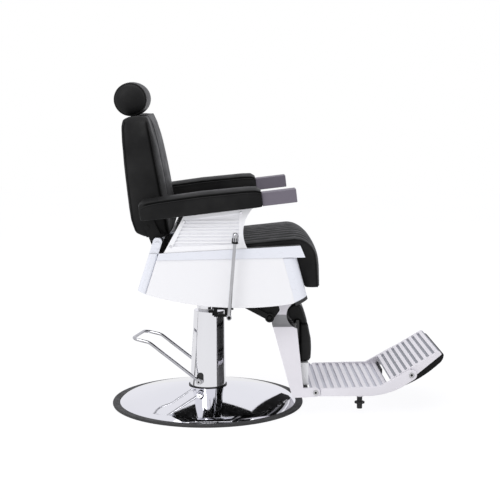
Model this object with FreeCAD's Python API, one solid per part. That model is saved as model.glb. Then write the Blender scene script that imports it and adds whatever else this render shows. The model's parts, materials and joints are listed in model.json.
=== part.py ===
import FreeCAD, Part
import math
import os

# Hairdressing chair in millimetres. +X is the front, -Y the sitter's right, +Z up.
# The origin is on the floor, at the middle of the round base.
V = FreeCAD.Vector

# Clearances
seat_gap = 0.2          # still pieces that sit round each other
running_gap = 0.05      # pins and shafts that turn or slide in their bores
soft_gap = 0.3          # upholstery round what it is cut for
same_point = 1e-6       # points closer than this are one

# Round base
base_radius = 330.0
ring_width = 24.0
ring_foot = 2.0         # rubber under the disc's edge
ring_lip = 1.5          # rubber over the disc's edge
ring_grip = 14.0        # how far the edge reaches into the rubber
dome_wall = 5.0
dome_height = 62.0
dome_flat_radius = 72.0
dome_bulge = 1.5
dome_roll = 24.0        # run of the disc's rolled edge
dome_roll_drop = 13.0
dome_roll_bulge = 1.9

# Pump and column
flange_radius = 66.0
flange_height = 12.0
flange_lip = 3.0        # rim that the cover stands on
flange_skin = 3.0       # left over the bolts' ends
socket_wall = 5.0
socket_height = 55.0
cylinder_radius = 40.0
cylinder_wall = 8.0
cylinder_floor = 12.0
cylinder_length = 254.0
seal_height = 6.0
cover_foot_radius = 62.0
cover_top_radius = 53.0
cover_lean = 6.0        # top of the cover ahead of its foot
cover_wall = 2.0
cover_cap = 3.0
piston_head_gap = 6.0   # column cap to the swivel washer
spigot_radius = 22.0
spigot_length = 38.0
washer_height = 2.0
flange_bolt_circle = 52.0
flange_bolt_count = 4
bolt_radius = 5.0
bolt_head_radius = 8.5
bolt_head_height = 6.0

# Foot lever of the pump
lever_yaw = 14.5        # degrees, towards the sitter's left
lever_pivot_offset = 11.0
lever_pivot_height = 87.0
lever_half_gap = 71.0
lever_bar_radius = 5.5
lever_bend_reach = 190.0
lever_bend_height = 215.0
lever_end_reach = 250.0
lever_end_height = 226.0
lever_bend_round = 45.0
lever_corner_round = 22.0
lever_eye_radius = 11.0
lever_eye_width = 12.0
lever_pin_radius = 6.0
lever_pin_head = 9.0
lever_pin_head_height = 5.0
grommet_radius = 11.0
grommet_rise = 17.0     # upper end of its slot above the pivot
grommet_reach = 8.0     # how far it goes in behind the cover

# Swivel mount and frame
mount_length = 200.0
mount_width = 260.0
mount_plate = 8.0
mount_front_x = 140.0
head_radius = 36.0
mount_bolt_edge = 35.0  # bolts from the plate's ends
rail_y = 120.0
rail_wall = 8.0
rail_height = 90.0
rail_rear_x = -190.0
rail_front_x = 270.0
rail_rear_rise = 45.0   # lower edge at the rear end above the mount
tube_width = 40.0
tube_height = 30.0
tube_wall = 3.0
rear_tube_x = -170.0
mid_tube_x = -60.0
front_tube_x = 235.0
mid_tube_gap = 8.0      # end of the middle tube to the link

# Tub under the seat
tub_half = 295.0
tub_wall = 6.0
tub_top = 552.0
tub_rear_x = -194.0
tub_rear_low = 430.0
tub_mid_x = 60.0
tub_mid_low = 386.0
tub_front_x = 274.0
tub_front_low = 397.0
tub_end_slope = 0.5     # rise of the corner trims' lower ends
post_offset = 5.0       # middle of the post's top ahead of the hinge
post_cap = 24.0         # top of the post above the hinge
post_drop = 27.0        # foot of the post below the hinge, on the rear trim
post_lean = 0.32        # run back for each millimetre down
post_width = 30.0
post_depth = 28.0
post_round = 10.0
trim_proud = 2.0
front_trim_x = 244.0
front_trim_top = 545.0
front_trim_lean = 0.27
front_trim_width = 45.0
front_trim_depth = 40.0
front_trim_round = 28.0
front_trim_wall = 4.0
rim_wall = 4.0
rim_ledge = 30.0
rim_rear_top = 562.0
rim_front_top = 586.0
rim_rear_low = 540.0
rim_front_low = 548.0
rim_front_x = 299.0
rim_front_rake = 16.0
rear_panel_gap = 6.0

# Arms
arm_panel_set_in = 12.0 # inner face of the panel inside the tub's outer face
arm_panel_wall = 14.0
arm_panel_border = 14.0
arm_rib_count = 7
arm_rib_depth = 4.0
arm_panel_sink = 7.0
arm_board_wall = 16.0
arm_board_show = 16.0   # board seen behind the panel's rear edge
arm_slope = 6.7         # degrees, front end up
arm_seat_x = -69.0      # a point on the line where pad meets panel
arm_seat_z = 684.0
arm_overhang = 5.0      # middle of the arm outside the tub's outer face
pad_width = 90.0
pad_rear_x = -196.0
pad_front_x = 178.0
pad_height = 61.0
pad_crown = 10.0
pad_fall = 12.0         # ends of the pad below its middle
pad_tuck = 5.0
grip_length = 110.0
grip_height = 42.0
grip_rise = 2.0         # grip above the pad's seat
grip_width = 60.0
grip_tongue = 60.0
grip_tongue_height = 20.0
grip_tongue_width = 40.0
grip_round = 2.0
panel_top_rear_x = -70.0
panel_top_front_x = 152.0
panel_waist_x = 117.0
panel_waist_share = 0.41 # height of the waist between rim and pad
panel_foot_front_x = 130.0
panel_foot_rear_x = -136.0
screw_radius = 4.0
screw_head_height = 2.5
screw_length = 12.0

# Back hinge, its crank and the link to the footrest
pivot_x = -156.0
pivot_z = 588.0
hinge_pin_radius = 8.0
hinge_pin_head = 11.0
hinge_pin_head_height = 4.0
bracket_wall = 8.0
bracket_round = 20.0
bracket_top_x = -204.0
bracket_top_z = 700.0
bracket_top_round = 16.0
crank_drop = 49.0
crank_round = 14.0
crank_pin_radius = 6.0
boss_radius = 9.0
back_bolt_heights = (640.0, 668.0, 696.0)
link_gap = 2.0          # link to the bracket
link_post_gap = 8.0     # link to the hinge post
link_wall = 8.0
link_width = 18.0
link_eye_wall = 5.0
link_free_play = 4.0    # play at the footrest end

# Back
back_side_gap = 11.0    # side of the upholstery to the bracket
back_low = 604.0
back_low_rear_x = -206.0
back_low_front_x = -124.0
back_heel_rise = 14.0
back_heel_rear_x = -229.0
back_heel_front_x = -120.0
back_shoulder_rear_x = -272.0
back_shoulder_front_x = -189.0
back_rear_bow = 0.55    # under 1 bows the rear outline backwards
back_top_rear_z = 981.0
back_top_front_z = 995.0
back_top_rear_x = -267.0
back_top_front_x = -192.0
back_crown = 25.0
back_border = 45.0
back_border_lift = 9.0
back_corner_round = 14.0
board_wall = 15.0
board_inset = 17.0      # edge of the board inside the upholstery
board_foot_x = -195.0
board_top_x = -232.0
board_top_z = 930.0

# Headrest
guide_wall = 3.0
guide_length = 184.0
post_bar_width = 30.0
post_bar_wall = 8.0
post_bar_top = 1042.0
post_bar_length = 228.0
roll_x = -248.0
roll_z = 1046.0
roll_half = 130.0
roll_radius = 57.0
roll_end_radius = 54.5
roll_end_dome = 6.0
roll_end_round = 9.0

# Seat
seat_board_wall = 15.0
seat_board_rear = -95.0
seat_board_front = 274.0
seat_side_gap = 45.0    # side of the cushion inside the tub's outer face
seat_rear_x = -100.0
seat_rear_z = 562.0
seat_bend_x = 285.0
seat_bend_z = 601.0
flap_front_x = 360.0
flap_low = 441.0
flap_depth = 36.0
seat_crown = 10.0
seat_channels = 11
channel_puff = 4.0
bend_steps = 5
bend_run = 68.0         # how far the top goes forward in the bend
bend_drop = 67.0        # and down
inner_bend_run = 37.0   # the same under the bend
inner_bend_drop = 37.0
seat_tuck = 8.0
seat_swell = 3.0

# Side lever
side_shaft_x = 71.0
side_shaft_z = 361.0
side_shaft_radius = 5.5
side_lever_clear = 37.0 # lever outside the tub's outer face
side_rod_radius = 5.5
side_rod_top_x = 90.0
side_rod_top_z = 600.0
side_hub_radius = 8.5
side_hub_width = 16.0
knob_radius = 9.5
knob_length = 33.0
knob_collar = 1.5
bearing_inner = 60.0
bearing_outer = 110.0
bearing_half = 17.0
release_rear_x = 22.0   # plate of the pump's release, hung from the bearing block
release_front_x = 70.0
release_wall = 8.0
release_low = 312.0
release_frame = 12.0    # left round the plate's window
release_window_low = 321.0
release_window_high = 337.0
release_claw = 18.0
release_claw_low = 326.0
release_claw_height = 8.0

# Footrest
swing_x = 185.0
swing_z = 437.0
swing_shaft_radius = 14.0
swing_shaft_spare = 2.0 # shaft end past the left arm
swing_arm_inner = 156.0
swing_arm_wall = 10.0
swing_hub_radius = 24.0
swing_nose_x = 262.0
swing_nose_z = 382.0
swing_nose_radius = 20.0
swing_tail_x = 203.0
swing_tail_z = 345.0
swing_tail_radius = 14.0
swing_lobe_x = 224.0
swing_lobe_z = 371.0
swing_lobe_radius = 12.0
swing_heel_x = 170.0
swing_heel_z = 384.0
swing_heel_radius = 12.0
leg_wall = 10.0
leg_top_z = 412.0
leg_top_rear_x = 222.0
leg_top_front_x = 268.0
leg_neck_z = 373.0
leg_neck_rear_x = 240.0
leg_neck_front_x = 279.0
leg_throat_z = 335.0
leg_throat_rear_x = 215.0
leg_throat_front_x = 263.0
leg_knee_z = 295.0
leg_knee_rear_x = 219.0
leg_knee_front_x = 297.0
leg_ankle_front_x = 319.0
leg_heel_x = 283.0
leg_heel_drop = 3.0
leg_joggle_high = 340.0
leg_joggle_low = 300.0
leg_bolt_step_x = 26.0
leg_bolt_step_z = 17.0
leg_bolt_radius = 5.0
leg_bolt_head = 9.0
leg_bolt_head_height = 5.0
foot_bolt_x = 360.0
foot_bolt_z = 78.0
foot_round = 15.0
bar_radius = 9.0
upper_bar_z = 230.0
lower_bar_z = 130.0
calf_side_gap = 20.0    # edge of the board to the leg
calf_pad_inset = 10.0   # edge of the pad inside the board
calf_board_rear = 296.0
calf_board_thin = 10.0
calf_board_low = 97.0
calf_board_step = 172.0
calf_board_high = 318.0
calf_lip_rear = 314.0
calf_lip_front = 338.0
calf_front = 347.0
calf_roll_x = 293.0
calf_roll_z = 341.0
calf_roll_radius = 30.0
calf_roll_start = 10.0  # degrees round the roll, from its front
calf_roll_top = 110.0
calf_roll_end = 225.0
calf_wrap_low = 297.0   # leather taken down behind the board
calf_waist_pinch = 11.0
calf_belly = 1.0
calf_end_tuck = 7.0
calf_end_round = 14.0

# Footplate and flip plate
foot_half = 190.0
foot_flange = 10.0
foot_rear = 345.0
foot_front = 612.0
foot_top = 86.0
foot_plate_wall = 8.0
foot_low = 65.0
foot_rib_count = 11
foot_rib_width = 13.0
foot_rib_height = 5.0
foot_lug_wall = 11.0
foot_gap = 3.0          # between the leg's round foot and the flange
foot_bend_back = 135.0  # where the flange starts to rise, behind the flip's pins
foot_curve_back = 82.0
foot_curve_rise = 9.0
foot_nose_back = 30.0
foot_nose_drop = 40.0
foot_shoulder_back = 108.0
foot_shoulder_rise = 4.0
flip_x = 680.0
flip_z = 135.0
flip_end_radius = 18.0
flip_end_angle = 35.0   # degrees, the way the flange's round end points
flip_slope = 31.0       # degrees, outer end up
flip_side_gap = 3.0     # flip plate to the footplate's flange
flip_inner = 69.0
flip_outer = 122.0
flip_top = 15.0
flip_wall = 8.0
flip_flange = 9.0
flip_flange_low = 11.0
flip_flange_tip = 5.0   # lower edge of the flange at the outer end
flip_rib_count = 9
flip_rib_width = 12.0
flip_rib_height = 5.0
flip_pad_inner = 56.0
flip_pad_outer = 130.0
flip_pad_low = 34.0
flip_pad_heel = 27.0
flip_pad_middle = 10.0
flip_pad_shoulder = 100.0
flip_pad_shoulder_low = 25.0
flip_pad_edge = 14.0
flip_pad_tuck = 8.0
flip_pin_radius = 6.0
flip_pin_head = 9.0
flip_pin_head_height = 3.0
bumper_x = 512.0
bumper_inset = 40.0     # bumper inside the footplate's side
bumper_clear = 13.0
bumper_radius = 9.0
bumper_flange_radius = 17.0
bumper_flange_height = 5.0
bumper_flange_z = 31.0
bumper_boss_radius = 13.0
bumper_boss_low = 55.0
flip_stop_width = 120.0  # rubber strip at the left end of the gap before the flip plate
flip_stop_length = 5.0
flip_stop_top = 96.0
lip_stop_width = 30.0
lip_stop_inset = 5.0    # stop under the calf board's lip, from the lip's rear
lip_stop_length = 15.0
lip_stop_height = 11.0

# Heights and places worked out from the sizes above
disc_edge_top = ring_foot + dome_wall
flange_top = dome_height + flange_height
cover_foot = dome_height + flange_lip
cylinder_top = dome_height + cylinder_length
cover_top = cylinder_top + seal_height + cover_cap
piston_radius = cylinder_radius - cylinder_wall - running_gap
piston_top = cover_top + piston_head_gap
head_low = piston_top + washer_height
plate_low = piston_top + spigot_length
plate_top = plate_low + mount_plate
rail_top = plate_top + rail_height
tube_top = rail_top + tube_height
board_top = tube_top + seat_board_wall
post_top = pivot_z + post_cap
post_foot = pivot_z - post_drop
post_top_x = pivot_x + post_offset
post_inner = tub_half + trim_proud - post_depth
link_inner = post_inner - link_post_gap - link_wall
bracket_inner = link_inner - link_gap - bracket_wall
mid_tube_half = link_inner - mid_tube_gap
back_half = bracket_inner - back_side_gap
board_half = back_half - board_inset
seat_half = tub_half - seat_side_gap
arm_panel_inner = tub_half - arm_panel_set_in
arm_centre = tub_half + arm_overhang
side_lever_y = tub_half + side_lever_clear
swing_shaft_left = swing_arm_inner + swing_arm_wall + swing_shaft_spare
leg_outer = foot_half
calf_board_half = leg_outer - leg_wall - calf_side_gap
calf_half = calf_board_half - calf_pad_inset
flip_half = foot_half - foot_flange - flip_side_gap
bumper_y = foot_half - bumper_inset


def cylinder(radius, start, end):
    """A round bar between two points."""
    return Part.makeCylinder(radius, (end - start).Length, start, end - start)


def bar_y(radius, x, z, y_low, y_high):
    """A round bar along Y."""
    return cylinder(radius, V(x, y_low, z), V(x, y_high, z))


def bar_z(radius, x, y, z_low, z_high):
    """A round bar along Z."""
    return cylinder(radius, V(x, y, z_low), V(x, y, z_high))


def block(x_low, x_high, y_low, y_high, z_low, z_high):
    """A box between two corners."""
    return Part.makeBox(x_high - x_low, y_high - y_low, z_high - z_low, V(x_low, y_low, z_low))


def wire(path):
    """A closed wire: each item is a point, or (middle, point) for an arc to that point."""
    edges = []
    here = path[0]
    for item in path[1:]:
        if isinstance(item, tuple):
            middle, there = item
            edges.append(Part.Arc(here, middle, there).toShape())
        else:
            there = item
            edges.append(Part.makeLine(here, there))
        here = there
    if here.distanceToPoint(path[0]) > same_point:
        edges.append(Part.makeLine(here, path[0]))
    return Part.Wire(edges)


def lift(item, place):
    """A flat point or arc item put into space by a function of its two numbers."""
    if isinstance(item[0], tuple):
        return tuple(place(*point) for point in item)
    return place(*item)


def side_plate(path, y_low, y_high):
    """A plate from an outline in X and Z."""
    outline = wire([lift(item, lambda x, z: V(x, y_low, z)) for item in path])
    return Part.Face(outline).extrude(V(0, y_high - y_low, 0))


def leaning_post(path, z_low, z_high, lean):
    """A section in X and Y, drawn at z_high, carried down along a lean in X."""
    outline = wire([lift(item, lambda x, y: V(x, y, z_high)) for item in path])
    drop = z_low - z_high
    return Part.Face(outline).extrude(V(drop * lean, 0, drop))


def loft(sections):
    """A closed solid through sections that all have the same number of edges."""
    return Part.makeLoft([wire(section) for section in sections], True, True)


def turned(radius_profile, axis_point, axis):
    """A flat profile carried once round an axis."""
    return Part.Face(wire(radius_profile)).revolve(axis_point, axis, 360)


def mirrored(shape):
    """The same piece on the sitter's left."""
    return shape.mirror(V(0, 0, 0), V(0, 1, 0))


def both(shape):
    """A piece and its mirror image, kept as two solids."""
    return [shape, mirrored(shape)]


def around(x, z, radius, degrees):
    """A point on a circle in X and Z."""
    angle = math.radians(degrees)
    return (x + radius * math.cos(angle), z + radius * math.sin(angle))


def strap(ends):
    """A flat link outline round two circles, as (x, z, radius) each."""
    (x_a, z_a, radius_a), (x_b, z_b, radius_b) = ends
    along = math.degrees(math.atan2(z_b - z_a, x_b - x_a))
    span = math.hypot(x_b - x_a, z_b - z_a)
    flank = 90 + math.degrees(math.asin((radius_b - radius_a) / span))
    return [
        around(x_a, z_a, radius_a, along - flank),
        around(x_b, z_b, radius_b, along - flank),
        (around(x_b, z_b, radius_b, along), around(x_b, z_b, radius_b, along + flank)),
        around(x_a, z_a, radius_a, along + flank),
        (around(x_a, z_a, radius_a, along + 180), around(x_a, z_a, radius_a, along - flank)),
    ]


def rounded_route(points, rounds):
    """Straight runs joined by tangent arcs, one radius for each inner point."""
    edges = []
    here = points[0]
    for before, corner, after, radius in zip(points, points[1:], points[2:], rounds):
        back = (before - corner).normalize()
        ahead = (after - corner).normalize()
        half = back.getAngle(ahead) / 2
        start = corner + back * (radius / math.tan(half))
        end = corner + ahead * (radius / math.tan(half))
        centre = corner + (back + ahead).normalize() * (radius / math.sin(half))
        middle = centre + (corner - centre).normalize() * radius
        edges.append(Part.makeLine(here, start))
        edges.append(Part.Arc(start, middle, end).toShape())
        here = end
    edges.append(Part.makeLine(here, points[-1]))
    return Part.Wire(edges)


def tube_along(route, radius):
    """A round bar along a route."""
    start = route.Edges[0].firstVertex().Point
    direction = route.Edges[0].tangentAt(route.Edges[0].FirstParameter)
    ring = Part.Wire([Part.makeCircle(radius, start, direction)])
    return Part.Wire(route).makePipeShell([ring], True, False)


def save(node, *shapes):
    """Write one node, as one solid or a group of them."""
    solids = []
    for shape in shapes:
        solids.extend(shape.Solids)
    whole = solids[0] if len(solids) == 1 else Part.makeCompound(solids)
    whole.exportStep("parts/" + node + ".step")
    volume = sum(solid.Volume for solid in solids)
    print(f"{node}: {len(solids)} solids, {volume / 1000:.1f} cm3, valid {whole.isValid()}")


def make_base():
    """Domed disc with a flat top, and the rubber ring round its edge."""
    edge_radius = base_radius - ring_width + ring_grip
    lip_radius = base_radius - ring_width
    bore = cylinder_radius + seat_gap
    shoulder = lip_radius - dome_roll
    shoulder_z = disc_edge_top + dome_roll_drop
    half = (dome_flat_radius + shoulder) / 2
    rise = (dome_height + shoulder_z) / 2 + dome_bulge
    turn = (shoulder + lip_radius) / 2
    turn_z = (shoulder_z + disc_edge_top) / 2 + dome_roll_bulge
    disc = turned([
        V(bore, 0, dome_height),
        V(dome_flat_radius, 0, dome_height),
        (V(half, 0, rise), V(shoulder, 0, shoulder_z)),
        (V(turn, 0, turn_z), V(lip_radius, 0, disc_edge_top)),
        V(edge_radius, 0, disc_edge_top),
        V(edge_radius, 0, ring_foot),
        V(lip_radius, 0, ring_foot),
        (V(turn, 0, turn_z - dome_wall), V(shoulder, 0, shoulder_z - dome_wall)),
        (V(half, 0, rise - dome_wall), V(dome_flat_radius, 0, dome_height - dome_wall)),
        V(bore, 0, dome_height - dome_wall),
    ], V(0, 0, 0), V(0, 0, 1))
    for x, y in flange_bolt_places():
        disc = disc.cut(bar_z(bolt_radius + seat_gap, x, y, 0, flange_top))
    save("base_plate", disc)
    top = disc_edge_top + ring_lip
    groove = edge_radius + seat_gap
    ring = turned([
        V(lip_radius, 0, 0),
        V(base_radius - ring_lip, 0, 0),
        (V(base_radius, 0, top / 2), V(base_radius - ring_lip, 0, top)),
        V(lip_radius, 0, top),
        V(lip_radius, 0, disc_edge_top),
        V(groove, 0, disc_edge_top),
        V(groove, 0, ring_foot),
        V(lip_radius, 0, ring_foot),
    ], V(0, 0, 0), V(0, 0, 1))
    save("base_ring", ring)


def flange_bolt_places():
    """Bolt centres of the pump flange."""
    places = []
    for index in range(flange_bolt_count):
        angle = math.radians(45 + 360 * index / flange_bolt_count)
        places.append((flange_bolt_circle * math.cos(angle), flange_bolt_circle * math.sin(angle)))
    return places


def lever_point(reach, side, height):
    """A point of the foot lever from its reach, sideways offset and height."""
    yaw = math.radians(lever_yaw)
    return V(
        -reach * math.cos(yaw) + side * math.sin(yaw),
        reach * math.sin(yaw) + side * math.cos(yaw),
        height,
    )


def lever_bar(radius, side_low, side_high):
    """A round bar on the foot lever's pivot axis."""
    start = lever_point(lever_pivot_offset, side_low, lever_pivot_height)
    end = lever_point(lever_pivot_offset, side_high, lever_pivot_height)
    return cylinder(radius, start, end)


def lever_slot(radius, side_low, side_high):
    """An upright slot through the column, from the foot lever's pivot up."""
    slot = side_plate(strap([
        (-lever_pivot_offset, lever_pivot_height, radius),
        (-lever_pivot_offset, lever_pivot_height + grommet_rise, radius),
    ]), side_low, side_high)
    slot.rotate(V(0, 0, 0), V(0, 0, 1), -lever_yaw)
    return slot


def make_pump():
    """Flange with its socket, cylinder, seal, chrome cover and the lever's pivots."""
    socket_radius = cylinder_radius + socket_wall
    rim = bar_z(flange_radius, 0, 0, dome_height, cover_foot)
    inside = cover_radius(flange_top) - cover_wall - seat_gap
    flange = rim.fuse(bar_z(inside, 0, 0, dome_height, flange_top))
    flange = flange.fuse(bar_z(socket_radius, 0, 0, dome_height, dome_height + socket_height))
    flange = flange.cut(bar_z(cylinder_radius + seat_gap, 0, 0, dome_height, cylinder_top))
    bolts = []
    for x, y in flange_bolt_places():
        end = flange_top - flange_skin
        flange = flange.cut(bar_z(bolt_radius + seat_gap, x, y, dome_height, end))
        under = dome_height - dome_wall
        head = bar_z(bolt_head_radius, x, y, under - bolt_head_height, under)
        shank = bar_z(bolt_radius, x, y, under, end)
        bolts.append(head.fuse(shank).removeSplitter())
    bore = cylinder_radius - cylinder_wall
    tube = bar_z(cylinder_radius, 0, 0, dome_height, cylinder_top)
    tube = tube.cut(bar_z(bore, 0, 0, dome_height + cylinder_floor, cylinder_top))
    pin_inner = math.sqrt(cylinder_radius ** 2 - lever_pivot_offset ** 2) - cylinder_wall / 2
    pin_outer = lever_half_gap + lever_eye_width / 2 + soft_gap
    pins = []
    grommets = []
    cover_radius_there = cover_radius(lever_pivot_height)
    wall_there = math.sqrt(cover_radius_there ** 2 - lever_pivot_offset ** 2)
    for side in (-1, 1):
        pin = lever_bar(lever_pin_radius, side * pin_inner, side * pin_outer)
        head = lever_bar(lever_pin_head, side * pin_outer, side * (pin_outer + lever_pin_head_height))
        pins.append(pin.fuse(head).removeSplitter())
        hole = lever_bar(lever_pin_radius + seat_gap, side * pin_inner, side * pin_outer)
        flange = flange.cut(hole)
        tube = tube.cut(hole)
        inner = wall_there - grommet_reach
        outer = lever_half_gap - lever_eye_width / 2 - soft_gap
        low_side, high_side = sorted((side * inner, side * outer))
        grommets.append(lever_slot(grommet_radius, low_side, high_side).cut(hole))
    save("pump_flange", flange)
    save("flange_bolts", *bolts)
    save("pump_cylinder", tube)
    save("lever_pivots", *pins)
    save("lever_grommets", *grommets)
    seal = bar_z(cylinder_radius, 0, 0, cylinder_top, cylinder_top + seal_height)
    seal = seal.cut(bar_z(piston_radius + soft_gap, 0, 0, cylinder_top, cylinder_top + seal_height))
    save("wiper_seal", seal)
    make_cover()


def cover_radius(height):
    """Outer radius of the tapered column cover at a height."""
    share = (height - cover_foot) / (cover_top - cover_foot)
    return cover_foot_radius + share * (cover_top_radius - cover_foot_radius)


def cover_cone(top, inset):
    """The leaning cone of the column cover, from its foot to a height."""
    share = (top - cover_foot) / (cover_top - cover_foot)
    up = V(0, 0, 1)
    rings = [
        Part.makeCircle(cover_foot_radius - inset, V(0, 0, cover_foot), up),
        Part.makeCircle(cover_radius(top) - inset, V(cover_lean * share, 0, top), up),
    ]
    return Part.makeLoft([Part.Wire([ring]) for ring in rings], True, True)


def make_cover():
    """Tapered chrome sleeve with an upright front and a top that the piston passes through."""
    cap_low = cover_top - cover_cap
    outside = cover_cone(cover_top, 0)
    inside = cover_cone(cap_low, cover_wall)
    mouth = bar_z(piston_radius + soft_gap, 0, 0, cover_foot, cover_top)
    cover = outside.cut(inside).cut(mouth)
    reach = lever_half_gap
    cover = cover.cut(lever_slot(grommet_radius + seat_gap, -reach, reach))
    save("column_cover", cover)


def make_foot_lever():
    """U-shaped chrome bar with an eye at each end."""
    reaches = [
        (lever_pivot_offset, lever_pivot_height),
        (lever_bend_reach, lever_bend_height),
        (lever_end_reach, lever_end_height),
    ]
    near = [lever_point(reach, -lever_half_gap, height) for reach, height in reaches]
    far = [lever_point(reach, lever_half_gap, height) for reach, height in reversed(reaches)]
    rounds = [lever_bend_round, lever_corner_round, lever_corner_round, lever_bend_round]
    lever = tube_along(rounded_route(near + far, rounds), lever_bar_radius)
    half = lever_eye_width / 2
    for side in (-1, 1):
        middle = side * lever_half_gap
        lever = lever.fuse(lever_bar(lever_eye_radius, middle - half, middle + half))
    for side in (-1, 1):
        middle = side * lever_half_gap
        bore = lever_pin_radius + running_gap
        lever = lever.cut(lever_bar(bore, middle - lever_eye_radius, middle + lever_eye_radius))
    save("pump_lever", lever)


def make_piston():
    """Lifting rod with the spigot that the seat turns on."""
    foot = dome_height + cylinder_floor + seat_gap
    rod = bar_z(piston_radius, 0, 0, foot, piston_top)
    spigot = bar_z(spigot_radius, 0, 0, piston_top, plate_top)
    save("piston_rod", rod.fuse(spigot))
    washer = bar_z(piston_radius - seat_gap, 0, 0, piston_top, head_low)
    washer = washer.cut(bar_z(spigot_radius + seat_gap, 0, 0, piston_top, head_low))
    save("swivel_washer", washer)


def make_mount():
    """Swivel head welded to its plate, bolted up to the frame rails."""
    half = mount_width / 2
    rear = mount_front_x - mount_length
    head = bar_z(head_radius, 0, 0, head_low, plate_top)
    plate = block(rear, mount_front_x, -half, half, plate_low, plate_top)
    bore = bar_z(spigot_radius + running_gap, 0, 0, head_low, plate_top)
    mount = head.fuse(plate).cut(bore)
    bolts = []
    for x in (rear + mount_bolt_edge, mount_front_x - mount_bolt_edge):
        for side in (-1, 1):
            y = side * (rail_y - rail_wall - bolt_head_radius)
            mount = mount.cut(bar_z(bolt_radius + seat_gap, x, y, plate_low, plate_top))
            shank = bar_z(bolt_radius, x, y, plate_low, plate_top + rail_wall)
            head = bar_z(bolt_head_radius, x, y, plate_low - bolt_head_height, plate_low)
            bolts.append(shank.fuse(head).removeSplitter())
    save("swivel_mount", mount)
    save("mount_bolts", *bolts)


def make_frame():
    """Two rails that carry the swing shaft, and three tubes across them."""
    foot = rail_wall * 3 + bolt_head_radius
    rear = mount_front_x - mount_length
    upright = side_plate([
        (rail_rear_x, plate_top + rail_rear_rise),
        (rear, plate_top),
        (rail_front_x, plate_top),
        (rail_front_x, rail_top),
        (rail_rear_x, rail_top),
    ], -rail_y - rail_wall / 2, -rail_y + rail_wall / 2)
    shoe = block(rear, mount_front_x, -rail_y, -rail_y + foot, plate_top, plate_top + rail_wall)
    rail = upright.fuse(shoe)
    rail = rail.cut(bar_y(swing_shaft_radius + running_gap, swing_x, swing_z, -rail_y * 2, 0))
    for x in (rear + mount_bolt_edge, mount_front_x - mount_bolt_edge):
        y = -(rail_y - rail_wall - bolt_head_radius)
        rail = rail.cut(bar_z(bolt_radius + seat_gap, x, y, plate_top, rail_top))
    rails = both(rail.removeSplitter())
    save("frame_rails", *rails)
    tubes = []
    ends = ((rear_tube_x, post_inner), (mid_tube_x, mid_tube_half), (front_tube_x, tub_half - tub_wall))
    for x, half in ends:
        left = x - tube_width / 2
        right = x + tube_width / 2
        tube = block(left, right, -half, half, rail_top, tube_top)
        room = block(left + tube_wall, right - tube_wall, -half, half,
                     rail_top + tube_wall, tube_top - tube_wall)
        tubes.append(tube.cut(room))
    save("cross_tubes", *tubes)


def post_x(height):
    """Middle of the leaning rear corner at a height."""
    return post_top_x - (post_top - height) * post_lean


def front_x(height):
    """Rear edge of the leaning front corner trim at a height."""
    return front_trim_x + (front_trim_top - height) * front_trim_lean


def tub_space():
    """Everything above the tub's curved lower edge."""
    run = base_radius
    path = [
        (tub_rear_x - run, tub_rear_low + run * tub_end_slope),
        (tub_rear_x, tub_rear_low),
        ((tub_mid_x, tub_mid_low), (tub_front_x, tub_front_low)),
        (tub_front_x + run, tub_front_low + run * tub_end_slope),
        (tub_front_x + run, post_top + run),
        (tub_rear_x - run, post_top + run),
    ]
    return side_plate(path, -tub_half * 2, tub_half * 2)


def make_tub():
    """Side and rear panels with their corner trims and top rims."""
    space = tub_space()
    half = post_width / 2
    lowest = tub_mid_low - tub_wall
    side = side_plate([
        (post_x(tub_top) + half, tub_top),
        (front_x(tub_top), tub_top),
        (front_x(lowest), lowest),
        (post_x(lowest) + half, lowest),
    ], -tub_half, -tub_half + tub_wall).common(space)
    save("tub_panel_right", side)
    save("tub_panel_left", mirrored(side))
    outer = -tub_half - trim_proud
    inner = outer + post_depth
    middle = post_x(post_foot)
    turn = post_round * (1 - math.sqrt(0.5))
    left = middle - half
    right = middle + half
    section = [
        (left, inner),
        (left, outer + post_round),
        ((left + turn, outer + turn), (left + post_round, outer)),
        (right - post_round, outer),
        ((right - turn, outer + turn), (right, outer + post_round)),
        (right, inner),
    ]
    trim = leaning_post(section, lowest, post_foot, post_lean).common(space)
    save("rear_trims", *both(trim))
    rear_face = half - rear_panel_gap
    panel = side_plate([
        (post_x(tub_top) - rear_face - tub_wall, tub_top),
        (post_x(tub_top) - rear_face, tub_top),
        (post_x(lowest) - rear_face, lowest),
        (post_x(lowest) - rear_face - tub_wall, lowest),
    ], inner, -inner).common(space)
    save("tub_panel_rear", panel)
    make_front_trims(space, lowest)
    make_rims()


def make_front_trims(space, lowest):
    """Hollow rounded corners at the front ends of the side panels."""
    left = front_trim_x
    right = front_trim_x + front_trim_width
    outer = -tub_half
    inner = outer + front_trim_depth
    bend = front_trim_round
    wall = front_trim_wall
    short = bend - wall
    turn = 1 - math.sqrt(0.5)
    section = [
        (left, outer),
        (right - bend, outer),
        ((right - bend * turn, outer + bend * turn), (right, outer + bend)),
        (right, inner),
        (right - wall, inner),
        (right - wall, outer + bend),
        ((right - wall - short * turn, outer + wall + short * turn), (right - bend, outer + wall)),
        (left, outer + wall),
    ]
    trim = leaning_post(section, lowest, front_trim_top, -front_trim_lean).common(space)
    save("front_trims", *both(trim))


def make_rims():
    """Folded strip over the top of each side panel."""
    half = post_width / 2 + seat_gap
    rear_top = post_x(rim_rear_top) + half
    rear_low = post_x(rim_rear_low) + half
    path = [
        (rear_low, rim_rear_low),
        (rim_front_x + rim_front_rake, rim_front_low),
        (rim_front_x, rim_front_top),
        (rear_top, rim_rear_top),
    ]
    face = side_plate(path, -tub_half - rim_wall, -tub_half)
    drop = rim_wall
    ledge = side_plate([
        (rear_top, rim_rear_top - drop),
        (rim_front_x, rim_front_top - drop),
        (rim_front_x, rim_front_top),
        (rear_top, rim_rear_top),
    ], -tub_half, -tub_half + rim_ledge)
    save("rims", *both(face.fuse(ledge).removeSplitter()))


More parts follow.
